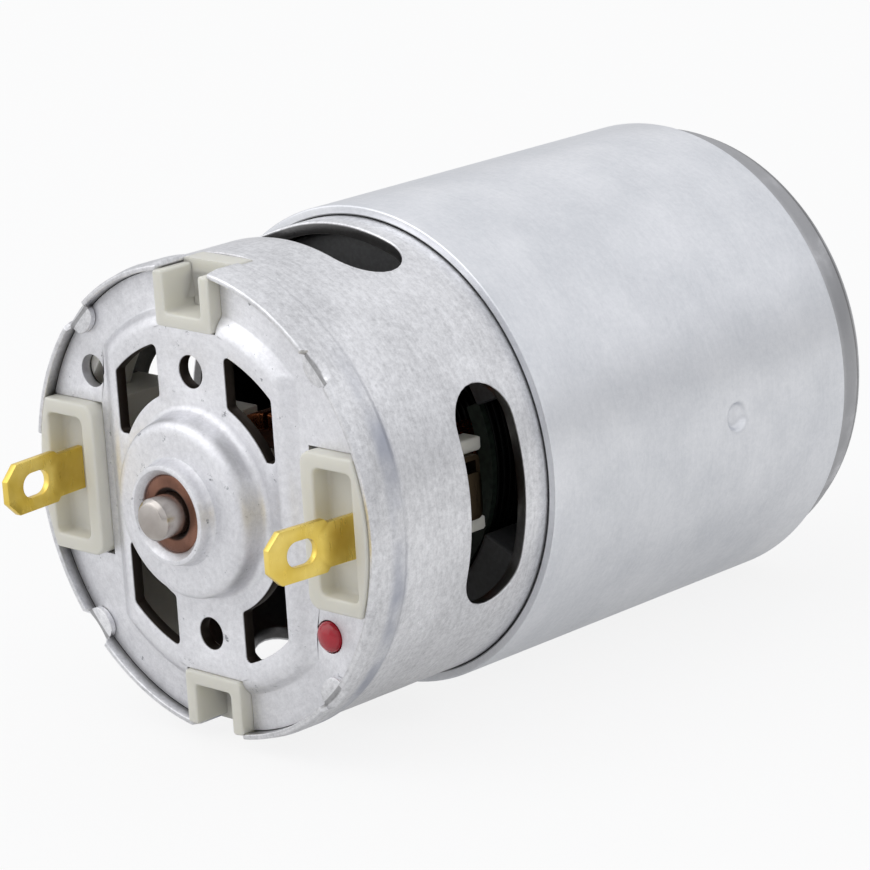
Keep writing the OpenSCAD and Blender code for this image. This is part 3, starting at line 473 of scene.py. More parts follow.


# Rolled sheet has an even, pale sheen; painted shade greys the side that lies on the can.
ring_steel = plated_steel("zinc-plated rolled steel", ("#d6d8dc", "#e8e9ec"), (0.3, 0.4), 0.45, 0.0)
stain_and_shade(ring_steel, "#8e8f90", ("off", 18.1, 18.05))
dimple_rows = [(RING_R, DIMPLE_AT + DIMPLE_FIELD * k / 3, 0) for k in range(3, -4, -1)]
ring_rows = rounded(
    [(RING_IN_R, RING_FRONT, 0.1), (RING_IN_R, RING_BACK, 0.12), (RING_R, RING_BACK, 0.15),
     (RING_R, 30, 0)] + dimple_rows + [(RING_R, 10, 0), (RING_R, RING_FRONT, 0.25)], 5)
bm = turned(ring_rows, columns([-DIMPLE_FIELD_TURN, 0, DIMPLE_FIELD_TURN, 90, 180,
                                SEAM_TURN - SEAM_HALF, SEAM_TURN + SEAM_HALF, 270], 2.5))
field = cells(bm, near(RING_R), (DIMPLE_AT - DIMPLE_FIELD, DIMPLE_AT + DIMPLE_FIELD), 0, DIMPLE_FIELD_TURN)
edges = sink(bm, field, on_dimple, [(0.4, 0), (0.2, 0.02), (0.05, 0.1), (-0.05, 0.24), (-0.15, 0.42),
                                    (-0.3, 0.55), (-0.6, DIMPLE_H)])
bmesh.ops.holes_fill(bm, edges=edges, sides=0)
cut(bm, cells(bm, (RING_IN_R - 0.1, RING_R + 0.1), (RING_FRONT - 1, RING_BACK + 1), SEAM_TURN, SEAM_HALF))
close_holes(bm)
soften(bm, 0.05, 60)
finished(bm, "flux_sleeve", ring_steel, "zinc_plated_sleeve", "stator", "flux_ring")

# Magnets. Two arcs of pressed ferrite inside the can, above and below the rotor, pushed apart
# at both sides by U-shaped spring clips.
MAGNET_IN_R, MAGNET_OUT_R, MAGNET_ANGLE, MAGNET_EDGE = 12.6, 16.85, 134, 0.4


def boxed(x0, x1, y0, y1, r=0.0, steps=3):
    return rounded([(x0, y0, r), (x1, y0, r), (x1, y1, r), (x0, y1, r)], steps)


def filled(bm, edges):
    """Fills a flat outline and leaves the outlines inside it open."""
    bmesh.ops.triangle_fill(bm, edges=edges, use_beauty=True, use_dissolve=False)


def swept(bm, points, middle, angle, steps):
    """A closed (radius, height) outline carried part of the way round the shaft."""
    corners = [bm.verts.new((x, 0, z)) for x, z in points]
    first = [bm.edges.new((a, b)) for a, b in zip(corners, corners[1:] + corners[:1])]
    start = Matrix.Rotation(radians(middle - angle / 2), 3, "Z")
    bmesh.ops.rotate(bm, verts=corners, cent=(0, 0, 0), matrix=start)
    out = bmesh.ops.spin(bm, geom=corners + first, cent=(0, 0, 0), axis=(0, 0, 1), dvec=(0, 0, 0),
                         angle=radians(angle), steps=steps, use_merge=False)["geom_last"]
    filled(bm, first)
    filled(bm, [e for e in out if isinstance(e, bmesh.types.BMEdge)])


def span(node):
    """Front and back of a node along the shaft, in mm from the mounting face."""
    low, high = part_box(node)
    return -high[1] * 1000, -low[1] * 1000


def clouded(name, colours, levels, size, detail):
    """A material whose colour wanders between two, in clouds of a size in mm; also returns
    its tree, its shader and the clouds."""
    material, tree, surface = new_material(name)
    cloud = add(tree, "TexNoise", {"Vector": point(tree), "Scale": 1 / size, "Detail": detail})
    tint = add(tree, "ValToRGB", {"Fac": cloud})
    for element, colour, level in zip(tint.color_ramp.elements, colours, levels):
        element.color, element.position = linear(colour), level
    wire(surface, {"Base Color": tint})
    return material, tree, surface, cloud


def dull(name, colours, rough, grain_size, bump, ior=1.5):
    """A moulded, pressed or fibrous material with a fine grain."""
    material, tree, surface, grain = clouded(name, colours, (0.35, 0.65), grain_size, 4.0)
    raised = add(tree, "Bump", {"Height": grain, "Strength": bump, "Distance": 0.00003})
    wire(surface, {"Roughness": rough, "IOR": ior, "Normal": raised})
    return material


def dress(material, *nodes):
    """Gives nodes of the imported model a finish."""
    for node in nodes:
        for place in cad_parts[node].material_slots:
            place.material = material


# Fired ferrite is almost black, with a stony grain.
ferrite = dull("pressed ferrite", ("#242526", "#37383a"), 0.55, 0.3, 0.4, 2.0)
for name, middle in (("upper", 90), ("lower", 270)):
    bm = bmesh.new()
    profile = boxed(MAGNET_IN_R, MAGNET_OUT_R, *span("magnet_" + name), MAGNET_EDGE)
    swept(bm, profile, middle, MAGNET_ANGLE, 48)
    soften(bm, 0.25, 70)
    finished(bm, "field_magnet_" + name, ferrite, "ferrite", "stator", "magnet_" + name)

# End plate. Pressed from 1 mm zinc-plated sheet: a raised middle, a deep bearing boss with a
# nose, four air windows, two tapped holes, two open holes, and openings for the brush holder.
PLATE_R, RAISED, RAISE_R, RAISE_X, FOOT_R, FOOT_X = 17.45, 56.8, 13.9, 9.1, 14.7, 10.3
OPENING_X, OPENING_HALF_W = 11.05, 5.95
KEY_HALF_W, KEY_Y = 3.0, 13.15
WINDOW_IN, WINDOW_OUT, WINDOW_X, WINDOW_W, WINDOW_Y = 8.5, 12.25, 3.6, 4.7, 4.25
SMALL_HOLE_R, TAPPED_Y, MARK_X, MARK_Y = 1.25, 10.0, 11.8, 8.3
ROOT_R, WINDOW_FIELD_R, MARK_FIELD_R = 7.5, 12.6, 1.4
BOSS_ROWS = (
    (7.2, 56.86), (7.02, 57.05), (6.93, 57.4), (6.8, 58.2), (6.7, 58.6), (6.5, 58.9), (6.2, 59.03),
    (5.8, 59.06), (4.5, 59.06), (4.1, 59.14), (3.95, 59.35), (3.9, 59.7), (3.82, 60.15), (3.74, 60.3),
    (3.58, 60.35), (3.42, 60.33), (3.34, 60.24), (3.0, 59.85), (2.96, 59.75), (2.96, 58.1),
    (5.6, 58.05), (5.75, 57.9), (5.75, 56.1), (5.95, 55.85), (6.3, 55.8))


def arc(r, start, end, count):
    """Points on a circle round the shaft, from one direction to another, ends included."""
    return [(r * cos(radians(start + (end - start) * k / count)),
             r * sin(radians(start + (end - start) * k / count))) for k in range(count + 1)]


def outline(bm, points, z):
    """Closed loop of edges through the points."""
    verts = [bm.verts.new((x, y, z)) for x, y in points]
    return [bm.edges.new((a, b)) for a, b in zip(verts, verts[1:] + verts[:1])]


def circle_points(x, y, r, count=32):
    return [(x + r * cos(2 * pi * k / count), y + r * sin(2 * pi * k / count)) for k in range(count)]


def turn_at_x(r, x):
    return degrees(acos(x / r))


def height_at(r, x):
    """Second coordinate of the point of a circle whose first is x."""
    return sqrt(r ** 2 - x ** 2)


def on_crease(v, side):
    """True on the foot or the shoulder of the raised middle, on one side of the shaft."""
    r, x = (RAISE_R, RAISE_X) if v.co.z > PLATE_BACK + 0.1 else (FOOT_R, FOOT_X)
    reach = v.co.xy.length
    return (side * v.co.x > KEY_HALF_W - 0.01 and reach < FOOT_R + 0.01
            and (abs(reach - r) < 0.01 or abs(abs(v.co.x) - x) < 0.01))


def thickened(bm, by):
    """Gives a sheet its thickness, up or down."""
    out = bmesh.ops.extrude_face_region(bm, geom=bm.faces[:])["geom"]
    bmesh.ops.translate(bm, verts=verts_in(out), vec=(0, 0, by))


def at_an_opening(v):
    """True among the windows and tapped holes, and round the two open holes."""
    from_mark = (Vector((abs(v.co.x), abs(v.co.y))) - Vector((MARK_X, MARK_Y))).length
    return v.co.xy.length < WINDOW_FIELD_R or from_mark < MARK_FIELD_R


# A matt, scuffed grain with wear marks. Painted shade makes the outer underside near black,
# and the walls of the windows and tapped holes and the raised middle's underside brownish grey.
plate_steel = plated_steel("zinc-plated pressed steel", ("#d2d2d5", "#ececef"), (0.42, 0.56), 0.35, 0.9)
stain_and_shade(plate_steel, "#3c3a38", ("off", 17.4, 17.35), ("along", -55.3, -55.1))
stain_and_shade(plate_steel, "#544c46", ("off", 12.6, 12.55), ("along", -56.74, -56.68), ("aside", 8.7, 8.6))

bm = bmesh.new()
rim_turn, pocket_turn = turn_at_x(PLATE_R, KEY_HALF_W), 90 - turn_at_x(PLATE_R, OPENING_HALF_W)
foot = arc(FOOT_R, turn_at_x(FOOT_R, KEY_HALF_W), turn_at_x(FOOT_R, FOOT_X), 14)
crescent = (arc(PLATE_R, pocket_turn, rim_turn, 24) + foot + [(x, -y) for x, y in foot[::-1]]
            + arc(PLATE_R, -rim_turn, -pocket_turn, 24)
            + [(OPENING_X, -OPENING_HALF_W), (OPENING_X, OPENING_HALF_W)])
for side in (1, -1):
    loops = outline(bm, [(side * x, side * y) for x, y in crescent], PLATE_BACK)
    loops += outline(bm, circle_points(side * MARK_X, -side * MARK_Y, SMALL_HOLE_R), PLATE_BACK)
    filled(bm, loops)
shoulder = arc(RAISE_R, turn_at_x(RAISE_R, KEY_HALF_W), turn_at_x(RAISE_R, RAISE_X), 14)
half = [(KEY_HALF_W, KEY_Y)] + shoulder + [(x, -y) for x, y in shoulder[::-1]] + [(KEY_HALF_W, -KEY_Y)]
loops = outline(bm, half + [(-x, -y) for x, y in half], RAISED)
loops += outline(bm, circle_points(0, 0, ROOT_R, 96), RAISED)
for side in (1, -1):
    loops += outline(bm, circle_points(0, side * TAPPED_Y, SMALL_HOLE_R), RAISED)
right = WINDOW_X + WINDOW_W
window = rounded(
    [(WINDOW_X, height_at(WINDOW_IN, WINDOW_X), 0.35)] + [(x, y, 0) for x, y in arc(WINDOW_IN, 61, 34, 8)]
    + [(height_at(WINDOW_IN, WINDOW_Y), WINDOW_Y, 0), (right, WINDOW_Y, 0.4),
       (right, height_at(WINDOW_OUT, right), 0.5)]
    + [(x, y, 0) for x, y in arc(WINDOW_OUT, 52, 70, 8)]
    + [(WINDOW_X, height_at(WINDOW_OUT, WINDOW_X), 0.4)])
for sx, sy in ((1, 1), (-1, 1), (-1, -1), (1, -1)):
    loops += outline(bm, [(sx * x, sy * y) for x, y in window], RAISED)
filled(bm, loops)
for side in (1, -1):
    creases = [e for e in bm.edges if e.is_boundary and all(on_crease(v, side) for v in e.verts)]
    bmesh.ops.bridge_loops(bm, edges=creases)
soften(bm, 0.5, 20, lambda e: all(v.co.z > RAISED - 0.01 for v in e.verts), segments=5)
soften(bm, 0.12, 20, lambda e: all(v.co.z < PLATE_BACK + 0.01 for v in e.verts))
thickened(bm, -WALL)
cut(bm, cells(bm, (ROOT_R - 0.1, ROOT_R + 0.05), (RAISED - 0.9, RAISED - 0.1)))
soften(bm, 0.06, 70, lambda e: all(at_an_opening(v) for v in e.verts))
root = [e for e in bm.edges if e.is_boundary and e.verts[0].co.xy.length < ROOT_R + 0.1]
edges = [e for e in root if e.verts[0].co.z > RAISED - 0.1]
under = [e for e in root if e.verts[0].co.z < RAISED - 0.9]
for row in BOSS_ROWS:
    edges = next_row(bm, edges, put, *row)
bmesh.ops.bridge_loops(bm, edges=edges + under)
finished(bm, "pressed_end_plate", plate_steel, "zinc_plated_steel", "stator", "end_plate")

# Brush holder. One moulding of natural nylon under the end plate: two trays for the terminals
# and two U-shaped keys come up through the plate, and prongs grip the brush boxes from outside.
HOLDER_R, HOLDER_RING_IN, HOLDER_FRONT, HOLDER_TOP = 16.8, 15.0, 50.5, 57.15
TRAY_X, TRAY_HALF_W, TRAY_R, TRAY_CORNER, TRAY_FLOOR = 11.1, 5.9, 17.42, 1.0, 55.5
HOLLOW_X, HOLLOW_HALF_W = (12.4, 16.2), 4.75
BLOCK_IN_X, BLOCK_FRONT, ARM_IN, ARM_OUT = 6.9, 48.1, 2.5, 3.55
CHEEK_OUT_X, CHEEK_FRONT, PRONG_X, PRONG_FRONT = 13.2, 44.15, (12.3, 14.0), 41.35
KEY_BLOCK_HALF_W, KEY_BLOCK_Y, KEY_OUT, KEY_WALL, KEY_RING_TURN = 2.95, 13.2, 17.35, 1.05, 6.7
KEY_FLOOR, PAD_HALF_W, PAD_FROM, PAD_OUT = 54.15, 2.7, 52.3, 17.75


def inset(points, d):
    """The outline drawn in by d all round."""
    moved = []
    for i, p in enumerate(points):
        last, after = points[i - 1], points[(i + 1) % len(points)]
        a, b = (Vector(p) - Vector(last)).normalized(), (Vector(after) - Vector(p)).normalized()
        n = Vector((-a.y, a.x)) + Vector((-b.y, b.x))
        moved.append(Vector(p) + n * (d / (n.length_squared / 2)))
    return moved


def walls(bm, levels):
    """Joins loops of equal count, one per (points, height) level, and returns the two end loops."""
    loops = [outline(bm, points, z) for points, z in levels]
    for below, above in zip(loops, loops[1:]):
        bmesh.ops.bridge_loops(bm, edges=below + above)
    return loops[0], loops[-1]


def stacked(bm, levels):
    """A closed solid through the levels."""
    for end in walls(bm, levels):
        filled(bm, end)


def hollowed(bm, outside, inside):
    """A solid through the outside levels, with a blind hollow down through the inside levels."""
    foot, top = walls(bm, outside)
    mouth, floor = walls(bm, inside)
    for edges in (foot, top + mouth, floor):
        filled(bm, edges)


def top_corner(size):
    """Levels (inset, height) of a quarter round up to the holder's top."""
    return [(size * (1 - cos(radians(a))), HOLDER_TOP - size * (1 - sin(radians(a))))
            for a in (0, 30, 60, 90)]


# Unfilled nylon is milky: light goes a little way into it and softens its edges.
nylon, tree, surface, _ = clouded("natural nylon, moulded", ("#d3d1c6", "#e2e0d6"), (0, 1), 6, 2.0)
texture = add(tree, "TexNoise", {"Vector": point(tree), "Scale": 1 / 0.25, "Detail": 3.0})
raised = add(tree, "Bump", {"Height": texture, "Strength": 0.2, "Distance": 0.00003})
wire(surface, {"Normal": raised, "Roughness": 0.42, "IOR": 1.53, "Subsurface Weight": 0.5,
               "Subsurface Radius": (1.0, 1.0, 0.85), "Subsurface Scale": 0.0012,
               "Transmission Weight": 0.15})

ring_rows = rounded([(HOLDER_RING_IN, HOLDER_FRONT, 0.3), (HOLDER_RING_IN, PLATE_FRONT, 0),
                     (HOLDER_R, PLATE_FRONT, 0), (HOLDER_R, HOLDER_FRONT, 0.3)])
bm = turned(ring_rows, columns([side + a for side in (0, 90, 180, 270)
                                for a in (-7.4, -6.6, 0, 6.6, 7.4)], 3))
for v in bm.verts:
    from_key = min(apart(turn_of(v.co), 90), apart(turn_of(v.co), 270))
    if v.co.z > PLATE_FRONT - 0.01 and from_key < KEY_RING_TURN:
        v.co.z = KEY_FLOOR - 0.05
rim_turn = degrees(atan2(TRAY_HALF_W - 0.3, TRAY_R))
rim_x = height_at(TRAY_R, TRAY_HALF_W)
tray = rounded([(TRAY_X, TRAY_HALF_W, TRAY_CORNER), (TRAY_X, -TRAY_HALF_W, TRAY_CORNER),
                (rim_x, -TRAY_HALF_W, 0.25)] + [(x, y, 0) for x, y in arc(TRAY_R, -rim_turn, rim_turn, 16)]
               + [(rim_x, TRAY_HALF_W, 0.25)], 5)
hollow = rounded([(HOLLOW_X[1], HOLLOW_HALF_W, 0.5), (HOLLOW_X[0], HOLLOW_HALF_W, 0.6),
                  (HOLLOW_X[0], -HOLLOW_HALF_W, 0.6), (HOLLOW_X[1], -HOLLOW_HALF_W, 0.5)], 5)
reach = degrees(asin(TRAY_HALF_W / HOLDER_R))
block = ([(BLOCK_IN_X, ARM_OUT), (BLOCK_IN_X, -ARM_OUT), (TRAY_X, -ARM_OUT), (TRAY_X, -TRAY_HALF_W)]
         + arc(HOLDER_R, -reach, reach, 12) + [(TRAY_X, TRAY_HALF_W), (TRAY_X, ARM_OUT)])
back, arm = KEY_BLOCK_Y + KEY_WALL, KEY_BLOCK_HALF_W - KEY_WALL
key = rounded([(KEY_BLOCK_HALF_W, KEY_BLOCK_Y, 0.3), (KEY_BLOCK_HALF_W, KEY_OUT, 0.25),
               (arm, KEY_OUT + 0.1, 0.25), (arm, back, 0.3), (-arm, back, 0.3),
               (-arm, KEY_OUT + 0.1, 0.25), (-KEY_BLOCK_HALF_W, KEY_OUT, 0.25),
               (-KEY_BLOCK_HALF_W, KEY_BLOCK_Y, 0.3)])
pad = boxed(-PAD_HALF_W, PAD_HALF_W, KEY_BLOCK_Y + 0.2, PAD_OUT, 0.15)
for side in (1, -1):
    this_tray, this_hollow, this_key, this_pad = [[side * p for p in points]
                                                  for points in (tray, hollow, key, pad)]
    hollowed(bm, [(inset(this_tray, d), z) for d, z in [(0, PLATE_FRONT - 0.5)] + top_corner(0.2)],
             [(inset(this_hollow, -d), z) for d, z in top_corner(0.2)[::-1]]
             + [(inset(this_hollow, d), TRAY_FLOOR + z) for d, z in ((0, 0.3), (0.1, 0.1), (0.3, 0))])
    this_block = [(side * x, side * y) for x, y in block]
    stacked(bm, [(this_block, BLOCK_FRONT), (this_block, PLATE_FRONT)])
    for leg in (1, -1):
        arm_y = sorted((leg * ARM_IN, leg * ARM_OUT))
        cheek = boxed(*sorted((side * BLOCK_IN_X, side * CHEEK_OUT_X)), *arm_y, 0.12)
        stacked(bm, [(cheek, CHEEK_FRONT), (cheek, BLOCK_FRONT)])
        prong = boxed(*sorted(side * x for x in PRONG_X), *arm_y, 0.15)
        stacked(bm, [(inset(prong, 0.3), PRONG_FRONT), (inset(prong, 0.12), PRONG_FRONT + 0.07),
                     (prong, PRONG_FRONT + 0.3), (prong, BLOCK_FRONT)])
    stacked(bm, [(inset(this_key, d), z) for d, z in [(0, KEY_FLOOR - 0.8)] + top_corner(0.15)])
    stacked(bm, [(this_pad, PAD_FROM), (this_pad, KEY_FLOOR)])
finished(bm, "brush_holder_moulding", nylon, "nylon", "stator", "brush_holder")

# Terminals. Two solder tabs stamped from 0.6 mm brass; each foot runs down through its tray to
# the brush box, and the tab leans a little towards the shaft.
FOOT_HALF_W, TAB_FLAT_HALF_W, SHEET_T, FOOT_END = 1.65, 1.975, 0.6, -12.85
TAB_LEN, SHOULDER, TIP_CUT, EYE_HALF_W, EYE_HALF_LEN, EYE_AT = 8.15, 2.65, 1.1, 0.95, 1.35, 5.15
TERMINAL_X, TERMINAL_SHIFT, BEND_Z, LEAN, HALF_BEND = 14.7, 0.3, 55.5, 4.9, 0.3


def metal(name, colours, rough, mark_size, bump, stretch=(1, 1, 1), metallic=1.0, coat=0.0):
    """A metal with fine marks; stretch draws them out along the directions of low numbers."""
    material, tree, surface, _ = clouded(name, colours, (0.3, 0.7), 3, 3.0)
    drawn = add(tree, "Mapping", {"Vector": point(tree), "Scale": stretch})
    marks = add(tree, "TexNoise", {"Vector": drawn, "Scale": 1 / mark_size,
                "Detail": 4.0, "Roughness": 0.6})
    sheen = add(tree, "MapRange", {"Value": marks, "From Min": 0.3, "From Max": 0.7,
                "To Min": rough[0], "To Max": rough[1]})
    raised = add(tree, "Bump", {"Height": marks, "Strength": bump, "Distance": 0.00002})
    wire(surface, {"Metallic": metallic, "Coat Weight": coat, "Roughness": sheen, "Normal": raised})
    return material


# Stamped brass is bright yellow with fine upright marks; inside the motor it is dark brown.
brass = metal("brass, stamped", ("#e0c050", "#f6dc7c"), (0.24, 0.4), 0.3, 0.3, (1, 1, 0.15))
stain_and_shade(brass, "#453a2b", ("along", -54, -52))
half = [(FOOT_HALF_W, FOOT_END, 0.3), (FOOT_HALF_W, SHOULDER, 0.1),
        (TAB_FLAT_HALF_W, SHOULDER + 0.3, 0.15), (TAB_FLAT_HALF_W, TAB_LEN - TIP_CUT, 0.15),
        (TAB_FLAT_HALF_W - TIP_CUT, TAB_LEN, 0.15)]
flat = rounded(half + [(-x, y, r) for x, y, r in half[::-1]], 3)
eyelet = boxed(-EYE_HALF_W, EYE_HALF_W, EYE_AT - EYE_HALF_LEN, EYE_AT + EYE_HALF_LEN,
               EYE_HALF_W - 0.01, 8)
for name, half_turn in (("terminal_left", pi), ("terminal_right", 0)):
    bm = bmesh.new()
    filled(bm, outline(bm, flat, -SHEET_T / 2) + outline(bm, eyelet, -SHEET_T / 2))
    thickened(bm, SHEET_T)
    soften(bm, 0.07, 60)
    for y in (-HALF_BEND, HALF_BEND):
        bmesh.ops.bisect_plane(bm, geom=bm.verts[:] + bm.edges[:] + bm.faces[:], dist=0.0001,
                               plane_co=(0, y, 0), plane_no=(0, 1, 0))
        bmesh.ops.rotate(bm, verts=[v for v in bm.verts if v.co.y > y + 0.001], cent=(0, y, 0),
                         matrix=Matrix.Rotation(radians(LEAN / 2), 3, "X"))
    rotate_all(bm, Matrix(((0, 0, -1), (-1, 0, 0), (0, 1, 0))))
    bmesh.ops.translate(bm, verts=bm.verts, vec=(TERMINAL_X, -TERMINAL_SHIFT, BEND_Z))
    rotate_all(bm, Matrix.Rotation(half_turn, 3, "Z"))
    finished(bm, name + "_tab", brass, "brass", "stator", name)

# Polarity mark. A drop of red lacquer let fall into one open hole beside the positive terminal;
# surface tension has pulled it into a glossy dome.
DROP_R, DROP_TOP = 1.17, 0.55


def spun(rows, count):
    """An open profile of (radius, height) rows carried round the shaft and closed at both ends."""
    bm, first, last = carried(rows, [90 - 360 * k / count for k in range(count)])
    for ends in (first, last):
        bmesh.ops.holes_fill(bm, edges=ends, sides=0)
    return bm


# Thick lacquer is deep red with a wet gloss.
lacquer, _, surface, _ = clouded("red lacquer", ("#8a0519", "#b00c26"), (0, 1), 1.2, 2.0)
wire(surface, {"Roughness": 0.18, "Specular IOR Level": 0.35, "Coat Weight": 0.5})
dome_foot = PLATE_BACK - 0.05
dome = [(DROP_R * cos(radians(a)), dome_foot + (DROP_TOP + 0.05) * sin(radians(a)))
        for a in range(0, 90, 9)]
bm = spun([(DROP_R, PLATE_FRONT + 0.15), (DROP_R, PLATE_BACK - 0.1)] + dome, 48)
bmesh.ops.translate(bm, verts=bm.verts, vec=(MARK_X, -MARK_Y, 0))
finished(bm, "polarity_drop", lacquer, "red_paint", "stator", "polarity_mark")

# Bearings. Two bushes of oil-filled sintered bronze, balls cut flat at both ends so that they
# line themselves up; a dished spring ring holds each in its boss.
BUSH_R, BUSH_FACE_R, BUSH_BORE_R, BUSH_IN = 4.3, 2.85, 1.6075, 3.0
REAR_BUSH_AT, FRONT_BUSH_AT = 56.53, -0.684

# Oil makes the grainy bronze brown and wet. Round the shaft it is nearly black.
bronze = metal("sintered bronze, oiled", ("#54392f", "#8a6454"), (0.25, 0.42), 0.12, 0.8)
stain_and_shade(bronze, "#2a1c16", ("off", 2.1, 1.9))
bush_face = height_at(BUSH_R, BUSH_FACE_R)
ball_from, ball_to = degrees(acos(-BUSH_IN / BUSH_R)), degrees(acos(bush_face / BUSH_R))
ball = [(r, z) for z, r in arc(BUSH_R, ball_from, ball_to, 16)]
bush = ([(BUSH_BORE_R, -BUSH_IN)] + ball[:-1]
        + [(BUSH_FACE_R + 0.03, bush_face - 0.04), (BUSH_FACE_R - 0.06, bush_face),
           (BUSH_BORE_R + 0.42, bush_face), (BUSH_BORE_R + 0.33, bush_face - 0.03),
           (BUSH_BORE_R, bush_face - 0.38)])
for name, middle, way in (("rear", REAR_BUSH_AT, 1), ("front", FRONT_BUSH_AT, -1)):
    bm = turned([(r, middle + way * z) for r, z in bush], columns([0, 90, 180, 270], 4))
    finished(bm, name + "_bush", bronze, "sintered_bronze", "stator", name + "_bearing")

# Shaft. Ground steel rod with chamfered ends; a shallow groove outside the front bush throws
# off the oil.
SHAFT_R, SHAFT_FROM, SHAFT_TO, CHAMFER = 1.5875, -15.0, 61.85, 0.3
GROOVE_FROM, GROOVE_TO, GROOVE_R = -5.15, -4.55, 1.3875

# Grinding leaves a warm bright steel with fine marks round the rod.
steel = metal("ground shaft steel", ("#a39c96", "#c9c3be"), (0.16, 0.28), 0.15, 0.3, (1, 6, 1))
chamfer = [(SHAFT_R - CHAMFER - 0.04, 0), (SHAFT_R - CHAMFER + 0.02, 0.03),
           (SHAFT_R - 0.02, CHAMFER - 0.03), (SHAFT_R, CHAMFER + 0.03)]
rod = ([(r, SHAFT_FROM + z) for r, z in chamfer]
       + [(SHAFT_R, GROOVE_FROM - 0.01), (GROOVE_R, GROOVE_FROM + 0.01), (GROOVE_R, GROOVE_TO - 0.01),
          (SHAFT_R, GROOVE_TO + 0.01), (SHAFT_R, 25)]
       + [(r, SHAFT_TO - z) for r, z in chamfer[::-1]] + [(0.6, SHAFT_TO), (0.3, SHAFT_TO - 0.06)])
finished(spun(rod, 64), "rotor_shaft", steel, "ground_steel", "rotor", "shaft", smooth=30)

# Brush gear. Each carbon brush slides in a folded brass box and is pushed on the commutator by
# a coil spring that bears on the terminal's foot.
BOX_HALF_W, BOX_FRONT, BOX_BACK, BOX_IN_X, BOX_OUT_X, BOX_T = 2.45, 42.15, 48.05, 6.3, 14.4, 0.4
SPRING_FROM, SPRING_TO, SPRING_R, WIRE_R, CURLS, CURL_STEPS = 9.65, 14.4, 1.45, 0.25, 4, 24
BRUSH_Z, BRUSH_TRAVEL = 45.1, 1.5


def rod_along(name, points, radius, material, slot, body, *nodes, sides=2):
    """A round wire through the points, made as a curve and kept as a mesh."""
    curve = bpy.data.curves.new(name, "CURVE")
    curve.dimensions = "3D"
    curve.bevel_depth, curve.bevel_resolution, curve.use_fill_caps = radius / 1000, sides, True
    spline = curve.splines.new("POLY")
    spline.points.add(len(points) - 1)
    for made, p in zip(spline.points, points):
        made.co = (p[0] / 1000, -p[2] / 1000, p[1] / 1000, 1)
    drawn = bpy.data.objects.new(name, curve)
    mesh = bpy.data.meshes.new_from_object(drawn)
    bpy.data.objects.remove(drawn)
    bm = bmesh.new()
    bm.from_mesh(mesh)
    bmesh.ops.remove_doubles(bm, verts=bm.verts, dist=0.000001)
    bmesh.ops.recalc_face_normals(bm, faces=bm.faces)
    for f in bm.faces:
        f.smooth = True
    bm.to_mesh(mesh)
    bm.free()
    return tied(mesh, name, material, body, nodes)


# The boxes are dark brown; the spring wire and the clips are bright and smooth.
box_brass = metal("brass, folded sheet", ("#3a2f22", "#544636"), (0.35, 0.55), 0.3, 0.3)
spring_steel = metal("bright spring steel", ("#a4a6a8", "#bfc1c3"), (0.22, 0.34), 0.2, 0.2)
box_outside = boxed(-BOX_HALF_W, BOX_HALF_W, BOX_FRONT, BOX_BACK, 0.45, 4)
box_inside = inset(box_outside, BOX_T)
box_levels = ((box_outside, BOX_IN_X), (box_outside, BOX_OUT_X), (box_inside, BOX_OUT_X),
              (box_inside, BOX_IN_X))
rise = SPRING_TO - SPRING_FROM - 2 * WIRE_R
for name, side in (("left", -1), ("right", 1)):
    bm = bmesh.new()
    rings = [[bm.verts.new((*p, x)) for p in points] for points, x in box_levels]
    for a, b in zip(rings, rings[1:] + rings[:1]):
        for k in range(len(a)):
            bm.faces.new((a[k - 1], a[k], b[k], b[k - 1]))
    soften(bm, 0.05, 60)
    rotate_all(bm, Matrix(((0, 0, 1), (1, 0, 0), (0, 1, 0))))
    if side < 0:
        rotate_all(bm, Matrix.Rotation(pi, 3, "Z"))
    finished(bm, "brush_guide_" + name, box_brass, "brass", "stator", "brush_box_" + name)
    helix = [(side * (SPRING_FROM + WIRE_R + rise * k / (CURL_STEPS * CURLS)), side * y, BRUSH_Z + z)
             for k, (y, z) in enumerate(circle_points(0, 0, SPRING_R, CURL_STEPS) * CURLS
                                        + [(SPRING_R, 0)])]
    spring = rod_along("brush_coil_" + name, helix, WIRE_R, spring_steel, "spring_steel", "stator",
                       "brush_spring_" + name)
    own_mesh(spring)

# The brushes' pressed mix of copper and graphite is brown-black with a faint sheen.
dress(dull("copper graphite", ("#26241f", "#3d372f"), 0.4, 0.15, 0.4), "brush_left", "brush_right")
dress(spring_steel, "magnet_clips", "front_bearing_retainer", "rear_bearing_retainer")

# Rotor. Three-pole stack of varnished electrical sheet, each pole wound with enamelled copper;
# the windings' ends go to the flange of the commutator.
POLES, STACK_FRONT, STACK_BACK, SHEET = 3, 11.69, 37.69, 0.65
STACK_R, SHOE_IN_R, NECK_HALF_W, HUB_R, SLOT_HALF_TURN = 12.0, 10.4, 2.75, 4.2, 5.74
LAYERS, WIRE_PITCH, COPPER_R, WINDING_CORNER = 6, 0.43, 0.19, 0.7
WINDING_IN, WINDING_R, SIDE_FIRST, END_FIRST, LOOP_POINTS, LOOP_START = 4.95, 10.1, 3.32, 13.72, 16, 11
FLANGE_FRONT, HOOK_R, HOOK_TURN = 41.05, 6.6, 54


def swung(points, turn):
    """Flat points turned round the shaft by degrees."""
    return [Matrix.Rotation(radians(turn), 2) @ Vector(p) for p in points]


